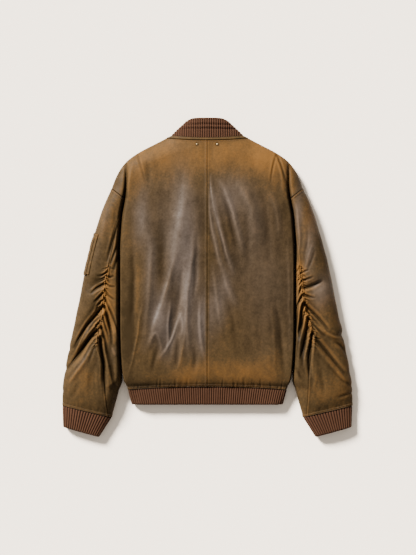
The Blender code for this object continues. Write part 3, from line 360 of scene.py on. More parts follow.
def waves(x: Array, y: Array, length: float, seed: int, stretch: float = 1.0) -> Array:
    """Smooth uneven field of about -1 to 1: sines in many directions, added up.

    Args:
        x: First coordinate.
        y: Second coordinate.
        length: Mean wavelength.
        seed: Seed of the directions and phases.
        stretch: How much longer the waves are along y.

    Returns:
        The field at each place.
    """
    draw = np.random.default_rng(seed)
    count = 14
    angle = draw.uniform(0, math.pi, count)
    phase = draw.uniform(0, 2 * math.pi, count)
    pace = 2 * math.pi / (length * draw.uniform(0.7, 1.5, count))
    total = np.zeros(np.broadcast(x, y).shape)
    for turn, start, rate in zip(angle, phase, pace):
        total += np.sin(rate * (x * math.cos(turn) + y * math.sin(turn) / stretch) + start)
    return total / math.sqrt(2 * count)


def stations(length: float, coarse: float, fine: float, reach: tuple[float, float]) -> Array:
    """Places from 0 to 1 that crowd together near both ends.

    Args:
        length: Real length of the run.
        coarse: Spacing in the middle.
        fine: Spacing at the ends.
        reach: How far the fine spacing reaches from the start and from the end.

    Returns:
        The places, in rising order.
    """
    at = np.linspace(0, length, 2001)
    dense = np.full_like(at, 1 / coarse)
    for gap, far in zip((at, length - at), reach):
        if far > 0:
            dense += (1 / fine - 1 / coarse) * bell(gap, far)
    total = np.concatenate(([0.0], np.cumsum((dense[1:] + dense[:-1]) / 2 * np.diff(at))))
    count = int(math.ceil(total[-1]))
    return np.interp(np.linspace(0, total[-1], count + 1), total, at / length)


def bent_line(ends: Sequence[float], count: int) -> Array:
    """Points of the parabola that passes through three points, given as six numbers."""
    start, middle, end = np.reshape(ends, (3, 2))
    share = np.linspace(0, 1, count)[:, None]
    pull = 2 * middle - (start + end) / 2
    return (1 - share) ** 2 * start + 2 * (1 - share) * share * pull + share ** 2 * end


def nearest(path: Array, x: Array, y: Array) -> tuple[Array, Array, Array]:
    """Distance from a path of straight runs.

    Args:
        path: Points of the path, one row each.
        x: X of the places.
        y: Y of the places.

    Returns:
        The distance, the length of path up to the nearest point, and the side (-1 or 1).
    """
    run = np.diff(path, axis=0)
    span = np.maximum(np.hypot(run[:, 0], run[:, 1]), 1e-9)
    before = np.concatenate(([0.0], np.cumsum(span)[:-1]))
    off_x = x.reshape(-1, 1) - path[None, :-1, 0]
    off_y = y.reshape(-1, 1) - path[None, :-1, 1]
    share = np.clip((off_x * run[:, 0] + off_y * run[:, 1]) / span ** 2, 0, 1)
    gap = np.hypot(off_x - share * run[:, 0], off_y - share * run[:, 1])
    best = np.argmin(gap, axis=1)
    row = np.arange(len(best))
    cross = run[best, 0] * off_y[row, best] - run[best, 1] * off_x[row, best]
    along = before[best] + share[row, best] * span[best]
    shape = x.shape
    return gap[row, best].reshape(shape), along.reshape(shape), np.sign(cross).reshape(shape)


def folds(table: Table, x: Array, y: Array) -> Array:
    """Large folds of the form, exactly as the solids have them: bells round bent lines."""
    total = np.zeros_like(x)
    for *ends, width, height in table:
        path = bent_line(ends, 25)
        gap, along, _ = nearest(path, x, y)
        share = along / np.hypot(*np.diff(path, axis=0).T).sum()
        total += height * bell(gap, width) * np.sin(math.pi * (0.08 + 0.84 * share))
    return total


def creases(table: Table, x: Array, y: Array) -> tuple[Array, Array]:
    """Listed creases. A trough has a low lip on both sides, as pressed leather has.

    Args:
        table: Rows of nine to twelve numbers, as the crease tables say.
        x: X of the places.
        y: Y of the places.

    Returns:
        The height that they add, and the painted sheen that they carry.
    """
    height_sum, painted_sheen_sum = np.zeros_like(x), np.zeros_like(x)
    for row in table:
        *ends, width, height = (value * MM for value in row[:8])
        sharp, painted_sheen, lean, from_start = (*row[8:], 0, 0, 0)[:4]
        path = bent_line(ends, 18)
        reach = 5 * width
        low, high = path.min(axis=0) - reach, path.max(axis=0) + reach
        here = (x > low[0]) & (x < high[0]) & (y > low[1]) & (y < high[1])
        if not here.any():
            continue
        gap, along, hand = nearest(path, x[here], y[here])
        share = np.clip(along / np.hypot(*np.diff(path, axis=0).T).sum(), 0, 1)
        if from_start:
            taper = np.cos(share * 1.57) ** 0.8 * ease(0.5 + share / 0.12)
        else:
            taper = np.sin(math.pi * (0.03 + 0.94 * share)) ** 0.8
        wide = width * (1 + lean * hand)
        section = np.exp(-((gap / wide) ** sharp))
        if height < 0:
            section = section - 0.30 * bell(gap - 2.1 * wide, width)
        height_sum[here] += height * section * taper
        # Painted sheen: a grey highlight painted along the crease.
        painted_sheen_sum[here] += 0.22 * painted_sheen * bell(gap, 1.8 * width) * taper
    return height_sum, painted_sheen_sum


# ---- the laid form
@dataclass(frozen=True)
class LaidForm:
    """The continuous sheets that all cloth pieces are cut from, with the solids' sizes."""

    edge_height: float = 0.0135
    under_radius: float = 0.014
    zip_half: float = 0.006
    hem_centre_y: float = -0.2834
    hem_side_y: float = -0.292
    hem_bottom_y: float = -0.3302
    hem_half: float = 0.2065
    hem_bottom_half: float = 0.1965
    neck_back_y: float = 0.355
    neck_front_y: float = 0.285
    neck_side_y: float = 0.362
    band: float = 0.006
    collar_half_base: float = 0.095
    collar_half_top: float = 0.052
    collar_side_rise: float = 0.0409
    collar_top_y: float = 0.4147
    collar_front_top_y: float = 0.345
    arm_out_y: float = 0.232
    arm_in_y: float = 0.205
    seam_meets_arm_y: float = 0.168
    underarm_y: float = 0.075
    cuff_out_y: float = -0.3336
    cuff_in_y: float = -0.3635
    cuff_end_out: tuple[float, float] = (0.375, -0.3886)
    cuff_end_in: tuple[float, float] = (0.281, -0.4147)
    zip_lift_height: float = 0.005
    zip_lift_y: float = 0.317
    zip_lift_flat: float = 0.025
    zip_lift_end: float = 0.056
    share_underarm: float = 0.46
    share_arm_in: float = 0.66
    share_arm_out: float = 0.72

    @property
    def share_seam(self) -> float:
        """Share of the sleeve's length at which the ruched seam leaves the armhole."""
        return (self.arm_in_y - self.seam_meets_arm_y) / (self.arm_in_y - self.cuff_in_y)

    @property
    def share_low(self) -> float:
        """Share of the sleeve's length at the lowest point of the armhole."""
        return (self.arm_in_y - self.underarm_y) / (self.arm_in_y - self.cuff_in_y)

    def outline_distance(self, x: Array, y: Array) -> Array:
        """Distance in from the outline, across, corrected for the outline's slope."""
        run = (curve(OUTLINE, 1, y + 0.002) - curve(OUTLINE, 1, y - 0.002)) / 0.004
        return np.maximum(curve(OUTLINE, 1, y) - x, 0.0) / np.sqrt(1 + run ** 2)

    def top_height(self, x: Array, y: Array, edge: int, radius: int, crown: Array) -> Array:
        """Height of the top sheet, which rounds up from the outline and out of the side crease.

        Args:
            x: Distance from the centre.
            y: Distance up the jacket.
            edge: Column of the crease table with this sheet's edge.
            radius: Column with its rounding.
            crown: Height where nothing lowers it.

        Returns:
            The height at each place.
        """
        rise = quarter(self.outline_distance(x, y), curve(OUTLINE, 2, y))
        clear = quarter(np.abs(x - curve(CREASE, edge, y)), curve(CREASE, radius, y))
        low = blend(curve(CREASE, 3, y), 1, clear)
        return self.edge_height + (crown - self.edge_height) * rise * low

    def body_top(self, x: Array, y: Array, hand: Hand) -> Array:
        """Points of the back. x is the distance from centre back."""
        in_from_side = np.maximum(0.0, 1 - (x / 0.225) ** 2)
        crown = blend(curve(BODY_CROWN, 2, y), curve(BODY_CROWN, 1, y), in_from_side)
        height = self.top_height(x, y, 1, 4, crown)
        inside = ease((height - self.edge_height) / 0.012)
        height = height + inside * folds(BODY_FOLDS, hand.value * x, y)
        return np.stack((hand.value * x, y, height), axis=-1)

    def sleeve_top(self, x: Array, y: Array, share: Array, hand: Hand) -> Array:
        """Points of a sleeve's top sheet. share is 0 at the armhole and 1 at the cuff."""
        height = self.top_height(x, y, 2, 5, curve(SLEEVE_CROWN, 1, share))
        inside = ease((height - self.edge_height) / 0.016)
        height = height + inside * folds(SLEEVE_FOLDS[hand], x, y)
        return np.stack((hand.value * x, y, height), axis=-1)

    def zip_lift(self, x: Array, y: Array) -> Array:
        """Lift of the underside round the zip slider."""
        reach = np.hypot(x, y - self.zip_lift_y)
        fall = (self.zip_lift_end - reach) / (self.zip_lift_end - self.zip_lift_flat)
        return self.zip_lift_height * ease(fall)

    def under(self, x: Array, y: Array, edge: int, hand: float) -> Array:
        """Points of the bottom sheet: flat, and rounded up to the folded edges."""
        from_outline = self.outline_distance(x, y)
        from_crease = np.abs(x - curve(CREASE, edge, y))
        crease_edge = self.edge_height * (1 - ease((y - self.underarm_y) / 0.040))
        height = self.edge_height * (1 - quarter(from_outline, self.under_radius))
        height = height + crease_edge * (1 - quarter(from_crease, self.under_radius))
        return np.stack((hand * x, y, height + self.zip_lift(x, y)), axis=-1)

    def body_side(self, share: Array) -> tuple[Array, Array]:
        """Side boundary of the body: up the side fold, round the armhole and along the shoulder.

        Args:
            share: Share of the way from hem to neck.

        Returns:
            X and Y of the boundary.
        """
        low, arm_in, arm_out = self.share_underarm, self.share_arm_in, self.share_arm_out
        up_fold = self.hem_side_y + (self.underarm_y - self.hem_side_y) * share / low
        up_arm = blend(self.underarm_y, self.arm_in_y, (share - low) / (arm_in - low))
        fold_y = np.where(share <= low, up_fold, up_arm)
        out = np.clip((share - arm_in) / (arm_out - arm_in), 0, 1)
        out_x = (curve(CREASE, 1, self.arm_in_y) * (1 - out)
                 + curve(OUTLINE, 1, self.arm_out_y) * out)
        out_y = self.arm_in_y * (1 - out) + self.arm_out_y * out
        rise = np.clip((share - arm_out) / (1 - arm_out), 0, 1)
        shoulder_y = blend(self.arm_out_y, self.neck_side_y, 1 - (1 - rise) ** 1.35)
        parts = [share <= arm_in, share <= arm_out]
        x = np.select(parts, [curve(CREASE, 1, fold_y), out_x], curve(OUTLINE, 1, shoulder_y))
        return x, np.select(parts, [fold_y, out_y], shoulder_y)

    def back_surface(self, across: Array, up: Array, hand: Hand) -> Array:
        """Back panel: across runs from centre back (0) to the side (1), up from hem to neck."""
        side_x, side_y = self.body_side(up)
        y = blend(curve(BACK_ROWS_Y, 1, up), side_y, across ** 2)
        return self.body_top(side_x * across, y, hand)

    def front_surface(self, across: Array, up: Array, hand: Hand) -> Array:
        """Front panel: across runs from centre front (0) to the side (1), up from hem to neck."""
        side_x, side_y = self.body_side(up)
        bend = np.sin(np.clip(2 * across - 1, 0, 1) * math.pi / 2)
        flat = blend(self.zip_half, side_x - self.under_radius, np.clip(2 * across, 0, 1))
        x = np.where(across < 0.5, flat, side_x - self.under_radius * (1 - bend))
        y = blend(curve(BACK_ROWS_Y, 2, up), side_y, (x / side_x) ** 2)
        return self.under(x, y, 1, hand.value)

    def sleeve_rows(self, share: Array | float) -> tuple[Array, Array, Array, Array]:
        """Outer and inner end of a row across the sleeve."""
        out_y = blend(self.arm_out_y, self.cuff_out_y, share)
        in_y = blend(self.arm_in_y, self.cuff_in_y, share)
        return curve(OUTLINE, 1, out_y), out_y, curve(CREASE, 2, in_y), in_y

    def seam_place(self, share: Array, hand: Hand) -> Array:
        """How far across the row, from the inner fold, the ruched seam lies."""
        out_x, out_y, in_x, in_y = self.sleeve_rows(share)
        place = np.full_like(np.asarray(share, dtype=float), 0.2)
        for _ in range(6):
            seam_x = curve(RUCHED_SEAM[hand], 1, blend(in_y, out_y, place))
            place = np.clip((seam_x - in_x) / (out_x - in_x), 0.0, 1.0)
        return np.where(share <= self.share_seam, 0.0, place)

    def under_seam_place(self, share: Array) -> Array:
        """How far across the row the plain seam of the underside lies."""
        return 0.34 * ease((share - self.share_seam) / 0.22)

    def sleeve_ring(self, turn: Array, share: Array, hand: Hand) -> Array:
        """Points of the sleeve's ring.

        Args:
            turn: 0 at the inner fold, 1 at the outline and 2 back at the fold, underneath.
            share: 0 at the armhole and 1 at the cuff.
            hand: Which sleeve.

        Returns:
            The points.
        """
        out_x, out_y, in_x, in_y = self.sleeve_rows(share)
        place = across_at(turn)
        x, y = blend(in_x, out_x, place), blend(in_y, out_y, place)
        above = (turn <= 1)[..., None]
        return np.where(above, self.sleeve_top(x, y, share, hand), self.under(x, y, 2, hand.value))

    def under_place(self, part: Array, share: Array, limit: Array, from_outline: bool) -> Array:
        """Place across the underside: half of the way rounds down, the other half lies flat."""
        out_x, _, in_x, _ = self.sleeve_rows(share)
        rounding = np.minimum(self.under_radius / (out_x - in_x), 0.45 * np.maximum(limit, 0.02))
        arc = rounding * (1 - np.cos(np.clip(2 * part, 0, 1) * math.pi / 2))
        flat = np.clip(2 * part - 1, 0, 1) * (limit - rounding)
        return 1 - arc - flat if from_outline else arc + flat

    def outer_cut(self, u: Array, v: Array, hand: Hand) -> tuple[Array, Array]:
        """Outer sleeve piece, as turn and share of the ring.

        Args:
            u: Across: ruched seam (0), outline (1) and underside seam (2).
            v: Share of the length.
            hand: Which sleeve.

        Returns:
            Turn and share at each u and v.
        """
        seam = self.seam_place(v, hand)
        on_top = np.clip(u, 0, 1)
        both = ease((0.20 - v) / (0.20 - self.share_seam))
        spread = (1 - both) * np.sin(on_top * math.pi / 2) + both * across_at(on_top)
        above = top_turn(seam + (1 - seam) * spread)
        limit = 1 - self.under_seam_place(v)
        below = 2 - top_turn(self.under_place(np.clip(u - 1, 0, 1), v, limit, True))
        return np.where(u <= 1, above, below), v

    def inner_cut(self, u: Array, v: Array, hand: Hand) -> tuple[Array, Array]:
        """Inner sleeve piece, as turn and share of the ring.

        Args:
            u: Across: ruched seam (0), inner fold (1) and underside seam (2).
            v: Down, from the armhole with its underarm point to the cuff.
            hand: Which sleeve.

        Returns:
            Turn and share at each u and v.
        """
        seam_share = self.share_seam + (1 - self.share_seam) * v
        share = seam_share + (1 - v) * (self.share_low - self.share_seam) * (1 - np.abs(1 - u))
        from_seam = 1 - np.sin(np.clip(u, 0, 1) * math.pi / 2)
        above = top_turn(self.seam_place(seam_share, hand) * from_seam)
        limit = self.under_seam_place(seam_share)
        below = 2 - top_turn(self.under_place(np.clip(u - 1, 0, 1), share, limit, False))
        return np.where(u <= 1, above, below), share

    def neck_point(self, angle: Array, level: Array) -> Array:
        """Points of the ring round the neck.

        Args:
            angle: 0 at centre back, plus or minus pi at centre front.
            level: 0 at the panels' edge, 1 at the collar seam, 2 at the collar's top.

        Returns:
            The points.
        """
        sine, cosine = np.abs(np.sin(angle)), np.cos(angle)
        back = cosine >= 0
        low, high = np.clip(level, 0, 1), np.clip(level - 1, 0, 1)
        panel_half = curve(OUTLINE, 1, self.neck_side_y)
        half = blend(panel_half, self.collar_half_base, low)
        half = half + (self.collar_half_top - self.collar_half_base) * high
        side_y = self.neck_side_y + self.band * low + self.collar_side_rise * high ** 0.92
        ends = ((self.neck_back_y, self.collar_top_y), (self.neck_front_y, self.collar_front_top_y))
        middle_y = np.where(back, *(
            seam + self.band * low + (top - seam - self.band) * high for seam, top in ends))
        zip_share = self.zip_half / panel_half
        beside_zip = self.zip_half + (half - self.zip_half) * (sine - zip_share) / (1 - zip_share)
        x = np.where(back, half * sine, beside_zip)
        y = blend(side_y, middle_y, blend(cosine ** 2, 1 - sine ** 6, high))
        crown = curve(BODY_CROWN, 1, self.neck_back_y) - 0.0015 * low - 0.0060 * high
        arch = blend(self.edge_height, crown, np.abs(cosine) ** 0.9)
        meet = self.body_top(x, np.minimum(y, self.neck_side_y), Hand.RIGHT)[..., 2]
        flat = self.edge_height * (1 - quarter(half - x, self.under_radius)) + self.zip_lift(x, y)
        height = np.where(back, meet * (1 - low) + arch * low, flat)
        return np.stack((np.sign(angle) * x, y, height), axis=-1)

    def hem_point(self, place: Array, level: Array) -> Array:
        """Points of the ring round the hem.

        Args:
            place: -2 and 2 at centre front, -1 and 1 at the side folds, 0 at centre back.
            level: 0 at the seam and 1 at the lower edge.

        Returns:
            The points.
        """
        half = blend(self.hem_half, self.hem_bottom_half, level)
        turn = np.abs(place)
        back = turn <= 1
        down = 2 * np.clip(turn - 1, 0, 1)
        rounding = self.under_radius * (1 - np.cos(np.clip(down, 0, 1) * math.pi / 2))
        inward = (half - self.under_radius - self.zip_half) * np.clip(down - 1, 0, 1)
        on_back = half * np.sin(np.clip(turn, 0, 1) * math.pi / 2)
        x = np.where(back, on_back, half - rounding - inward)
        seam_x = x * self.hem_half / half
        seam_y = blend(self.hem_centre_y, self.hem_side_y, (x / half) ** 2)
        edge = self.edge_height - 0.0020 * level
        top = blend(edge, 0.0250, quarter(half - x, 0.034))
        flat = edge * (1 - quarter(half - x, self.under_radius))
        meet_y = blend(self.hem_centre_y, self.hem_side_y, (seam_x / self.hem_half) ** 2)
        tops = (self.body_top(seam_x, meet_y, hand)[..., 2] for hand in Hand)
        under = self.under(seam_x, meet_y, 1, 1.0)[..., 2]
        meet = np.where(back, np.where(place < 0, *tops), under)
        height = blend(meet, np.where(back, top, flat), level)
        return np.stack((np.where(place < 0, -x, x), blend(seam_y, self.hem_bottom_y, level),
                         height), axis=-1)

    def cuff_point(self, turn: Array, level: Array, hand: Hand) -> Array:
        """Points of the ring round a cuff.

        Args:
            turn: 0 at the inner fold, 1 at the outline, 2 back at the fold underneath.
            level: 0 at the seam and 1 at the lower edge.
            hand: Which cuff.

        Returns:
            The points.
        """
        out_x, out_y, in_x, in_y = self.sleeve_rows(1.0)
        across = across_at(turn)
        seam_x, seam_y = blend(in_x, out_x, across), blend(in_y, out_y, across)
        end_x, end_y = (blend(inner, outer, across)
                        for inner, outer in zip(self.cuff_end_in, self.cuff_end_out))
        end_width = self.cuff_end_out[0] - self.cuff_end_in[0]
        width = (out_x - in_x) * (1 - level) + end_width * level
        edge = self.edge_height - 0.0015 * level
        top = blend(edge, 0.0255, np.sqrt(np.maximum(0.0, np.sin(turn * math.pi))))
        flat = edge * (1 - quarter(width * np.minimum(across, 1 - across), self.under_radius))
        on_top = np.mod(turn, 2) <= 1
        meet = np.where(on_top, self.sleeve_top(seam_x, seam_y, np.ones_like(seam_x), hand)[..., 2],
                        self.under(seam_x, seam_y, 2, hand.value)[..., 2])
        height = blend(meet, np.where(on_top, top, flat), level)
        x, y = blend(seam_x, end_x, level), blend(seam_y, end_y, level)
        return np.stack((hand.value * x, y, height), axis=-1)


def across_at(turn: Array) -> Array:
    """Place across a ring's sheet at a turn of it."""
    return (1 - np.cos(turn * math.pi)) / 2


def top_turn(place: Array) -> Array:
    """Turn of the sleeve's ring at a place across its top sheet."""
    return np.arccos(1 - 2 * np.clip(place, 0, 1)) / math.pi


FORM = LaidForm()


# ---- cloth grids
def unit(vectors: Array) -> Array:
    """Vectors at length 1."""
    return vectors / np.maximum(np.linalg.norm(vectors, axis=-1, keepdims=True), 1e-12)


def run_length(points: Array, axis: int) -> Array:
    """Length along the grid's rows or columns, added up from their start."""
    step = np.linalg.norm(np.diff(points, axis=axis), axis=-1)
    start = np.zeros_like(np.take(step, [0], axis=axis))
    return np.concatenate((start, np.cumsum(step, axis=axis)), axis=axis)


class Cloth:
    """Grid of one cloth piece, indexed by u and then v, with its outward normals."""

    def __init__(self, base: Array, up_at: tuple[float, float], up: float = 1.0,
                 closed: bool = False) -> None:
        """Measures the grid.

        Args:
            base: Points of the smooth form.
            up_at: Share of u and v at which the way outwards is known.
            up: 1 where outwards is upwards there and -1 where it is downwards.
            closed: Whether the last u meets the first.
        """
        self.base, self.closed = base, closed
        self.x, self.y = base[..., 0], base[..., 1]
        looped = np.concatenate((base[-1:], base, base[:1])) if closed else base
        along_u = np.gradient(looped, axis=0)
        along_u = along_u[1:-1] if closed else along_u
        self.normals = unit(np.cross(along_u, np.gradient(base, axis=1)))
        spot = (int(up_at[0] * (base.shape[0] - 1)), int(up_at[1] * (base.shape[1] - 1)))
        if self.normals[spot][2] * up < 0:
            self.normals = -self.normals
        self.length_u, self.length_v = run_length(base, 0), run_length(base, 1)
        self.points = base.copy()
        # Marks of each point: rubbed tan (with some painted light), painted sheen and painted
        # shade.
        self.tan, self.painted_sheen, self.dark = np.zeros((3, *base.shape[:2]))

    def gap(self, edge: Edge) -> Array:
        """Distance from a border, along the grid."""
        return {
            Edge.FIRST_U: self.length_u,
            Edge.LAST_U: self.length_u[-1:] - self.length_u,
            Edge.FIRST_V: self.length_v,
            Edge.LAST_V: self.length_v[:, -1:] - self.length_v,
        }[edge]

    def lift(self, height: Array) -> None:
        """Moves the points up by a height."""
        self.points[..., 2] += height

    def puff(self, height: Array) -> None:
        """Moves the points out along their normals."""
        self.points += height[..., None] * self.normals

    def turn_under(self, edges: Sequence[Edge], depth: float = 0.9 * MM, width: float = 1.3 * MM,
                   shade: float = 0.85) -> None:
        """Rolls the cloth in at its seams, which leaves a groove between two pieces.

        Args:
            edges: Borders that are sewn.
            depth: How far the very edge goes in.
            width: Reach of the roll.
            shade: Strength of the painted shade in the groove.
        """
        for edge in edges:
            roll = bell(self.gap(edge), width)
            self.puff(-depth * roll)
            # Painted shade in the seam groove.
            self.dark = np.maximum(self.dark, shade * bell(self.gap(edge), 1.2 * width))

    def allowance(self, edge: Edge, width: float, height: float, keep: Array | float = 1.0) -> None:
        """Raises the strip beside a seam where the turned-in leather lies double."""
        gap = self.gap(edge)
        strip = ease(gap / (1.2 * MM)) * ease((width - gap) / (1.6 * MM))
        self.puff(height * strip * keep)

    def age(self, strength: float = 1.0) -> None:
        """Marks the relief against its mean near by: painted shade in hollows, and ridges rubbed.
        """
        relief = ((self.points - self.base) * self.normals).sum(axis=-1)
        mean = box_mean(relief, 5, 4, self.closed)
        hollow = (mean - relief) / (0.8 * MM)
        # Painted shade in the hollows.
        self.dark = np.clip(self.dark + 0.9 * strength * np.clip(hollow, 0, 1), 0, 1)
        self.tan = self.tan + 0.30 * strength * np.clip(-hollow, 0, 1)


def box_mean(field: Array, reach_u: int, reach_v: int, closed: bool) -> Array:
    """Mean over a window round each grid point, by running sums."""
    for axis, reach in ((0, reach_u), (1, reach_v)):
        pad = [(reach + 1, reach) if k == axis else (0, 0) for k in (0, 1)]
        mode = "wrap" if closed and axis == 0 else "edge"
        total = np.cumsum(np.pad(field, pad, mode=mode), axis=axis)
        size, wide = field.shape[axis], 2 * reach + 1
        ahead = np.take(total, np.arange(size) + wide, axis=axis)
        field = (ahead - np.take(total, np.arange(size), axis=axis)) / wide
    return field


def new_object(name: str, points: Array, faces: list, smooth: bool = True) -> Object:
    """Makes one mesh object at the origin, of points and of faces that list their points."""
    mesh = bpy.data.meshes.new(name)
    mesh.from_pydata(points.tolist(), [], faces)
    mesh.polygons.foreach_set("use_smooth", np.full(len(mesh.polygons), smooth))
    mesh.update()
    made = bpy.data.objects.new(name, mesh)
    bpy.context.scene.collection.objects.link(made)
    return made


def signed_volume(points: Array, quads: Array) -> float:
    """Six times the volume that faces enclose, positive when they point outwards."""
    a, b, c, d = (points[quads[:, k]] for k in range(4))
    return float((a * (np.cross(b, c) + np.cross(c, d))).sum())


def shell_faces(count_u: int, count_v: int, closed: bool) -> Array:
    """Quads of a closed wall: outer sheet, inner sheet and rims."""
    index = np.arange(count_u * count_v).reshape(count_u, count_v)
    if closed:
        index = np.concatenate((index, index[:1]))
    second = index + count_u * count_v
    sheets = [
        (index[:-1, :-1], index[1:, :-1], index[1:, 1:], index[:-1, 1:]),
        (second[:-1, :-1], second[:-1, 1:], second[1:, 1:], second[1:, :-1]),
        (index[1:, 0], index[:-1, 0], second[:-1, 0], second[1:, 0]),
        (index[:-1, -1], index[1:, -1], second[1:, -1], second[:-1, -1]),
    ]
    if not closed:
        sheets += [
            (index[0, :-1], index[0, 1:], second[0, 1:], second[0, :-1]),
            (index[-1, 1:], index[-1, :-1], second[-1, :-1], second[-1, 1:]),
        ]
    return np.concatenate([np.stack(sheet, axis=-1).reshape(-1, 4) for sheet in sheets])


def shell(name: str, cloth: Cloth, wall: float) -> Object:
    """Closed thin shell of a cloth grid, with its wear, painted sheen, painted shade and a map in
    metres.

    Args:
        name: Name of the piece.
        cloth: The grid, which is the outer side.
        wall: Thickness, inwards along the smooth normals.

    Returns:
        The mesh object.
    """
    inner = cloth.points - wall * cloth.normals
    points = np.concatenate((cloth.points.reshape(-1, 3), inner.reshape(-1, 3)))
    points[:, 2] = np.maximum(points[:, 2], 0.0)
    quads = shell_faces(*cloth.points.shape[:2], cloth.closed)
    if signed_volume(points, quads) < 0:
        quads = quads[:, ::-1]
    made = new_object(name, points, quads.tolist())
    marks = np.stack((cloth.tan, cloth.painted_sheen, cloth.dark, np.ones_like(cloth.tan)), axis=-1)
    layer = made.data.color_attributes.new("wear_sheen_and_shade", "FLOAT_COLOR", "POINT")
    layer.data.foreach_set("color", np.tile(np.clip(marks, 0, 1).reshape(-1, 4), (2, 1)).ravel())
    flat = np.stack((cloth.length_u, cloth.length_v), axis=-1).reshape(-1, 2)
    corner = np.empty(len(made.data.loops), dtype=np.int32)
    made.data.loops.foreach_get("vertex_index", corner)
    uv = made.data.uv_layers.new(name="UVMap")
    uv.data.foreach_set("uv", np.tile(flat, (2, 1))[corner].ravel())
    return made


def line_on(cloth: Cloth, edge: Edge, inset: float, low: float = 0.0,
            high: float = 1.0) -> tuple[Array, Array]:
    """Line on a cloth at one distance from a border.

    Args:
        cloth: The grid, with its relief.
        edge: Border that the line follows.
        inset: Distance from it.
        low: Share of the border at which the line starts.
        high: Share at which it ends.

    Returns:
        Points of the line, and the outward normals there.
    """
    fields = (cloth.gap(edge), cloth.points, cloth.normals)
    if edge in (Edge.FIRST_V, Edge.LAST_V):
        fields = tuple(field.swapaxes(0, 1) for field in fields)
    if edge in (Edge.LAST_U, Edge.LAST_V):
        fields = tuple(field[::-1] for field in fields)
    gap, points, normals = fields
    count = gap.shape[1]
    columns = np.arange(int(low * (count - 1)), int(high * (count - 1)) + 1)
    after = np.clip((gap[:, columns] < inset).sum(axis=0), 1, len(gap) - 1)
    before = after - 1
    span = np.maximum(gap[after, columns] - gap[before, columns], 1e-9)
    share = np.clip((inset - gap[before, columns]) / span, 0, 1)[:, None]
    place, out = (blend(field[before, columns], field[after, columns], share)
                  for field in (points, normals))
    return place, unit(out)


# ---- stitches
@dataclass(frozen=True)
class Thread:
    """Size of the topstitching."""

    pitch: float = 3.4 * MM
    length: float = 2.5 * MM
    width: float = 0.62 * MM
    height: float = 0.42 * MM
    sides: int = 5

    def spindle(self) -> tuple[Array, Array]:
        """Points and triangles of one stitch: three rings between two tips."""
        turn = np.arange(self.sides) * 2 * math.pi / self.sides
        points = [(-0.5, 0.0, -0.2)]
        points += [(shift, girth * math.cos(a), girth * math.sin(a))
                   for shift, girth in ((-0.34, 0.8), (0.0, 1.0), (0.34, 0.8)) for a in turn]
        points += [(0.5, 0.0, -0.2)]
        faces = []
        for k in range(self.sides):
            after = (k + 1) % self.sides
            faces.append((0, 1 + after, 1 + k))
            for low in (1, 1 + self.sides):
                high = low + self.sides
                faces += [(low + k, low + after, high + after), (low + k, high + after, high + k)]
            faces.append((high + k, high + after, len(points) - 1))
        return np.array(points) * (self.length, self.width / 2, self.height), np.array(faces)

    def stitches(self, line: Array, out: Array) -> tuple[Array, Array]:
        """Stitches along a line: small spindles half sunk in the leather.

        Args:
            line: Points of the line.
            out: Outward normals there.

        Returns:
            Points and triangles.
        """
        run = run_length(line[:, None], 0)[:, 0]
        at = np.arange(self.pitch / 2, run[-1], self.pitch)

        def along(rows: Array, places: Array) -> Array:
            """Values of the line's rows at some lengths."""
            return np.stack([np.interp(places, run, rows[:, k]) for k in range(3)], axis=-1)

        normal = unit(along(out, at))
        ahead = along(line, at + MM) - along(line, at - MM)
        ahead = unit(ahead - (ahead * normal).sum(-1, keepdims=True) * normal)
        frames = np.stack((ahead, np.cross(normal, ahead), normal), axis=1)
        shape, faces = self.spindle()
        points = along(line, at)[:, None] + shape @ frames
        faces = faces[None] + len(shape) * np.arange(len(at))[:, None, None]
        return points.reshape(-1, 3), faces.reshape(-1, 3)


class Seamstress:
    """Collects rows of stitches and makes one object of them."""

    def __init__(self, thread: Thread) -> None:
        """Starts with no stitches."""
        self.thread = thread
        self.rows: list[tuple[Array, Array]] = []
        self.count = 0

    def sew(self, cloth: Cloth, edge: Edge, *insets: float, low: float = 0.0,
            high: float = 1.0) -> None:
        """Sews rows of stitches beside a border of a cloth.

        Args:
            cloth: The grid, with its relief.
            edge: The border.
            insets: Distance of each row from it.
            low: Share of the border at which the rows start.
            high: Share at which they end.
        """
        for inset in insets:
            points, faces = self.thread.stitches(*line_on(cloth, edge, inset, low, high))
            self.rows.append((points, faces + self.count))
            self.count += len(points)

    def finish(self, name: str, finish: Material) -> None:
        """Makes the object, and has it ride with the garment."""
        points, faces = (np.concatenate(part) for part in zip(*self.rows))
        points[:, 2] = np.maximum(points[:, 2], 0.0)
        if signed_volume(points - points.mean(axis=0), faces[:, (0, 1, 2, 2)]) < 0:
            faces = faces[:, ::-1]
        dress(new_object(name, points, faces.tolist()), finish, "leather")


# ---- finishes
Colour = tuple[float, float, float]


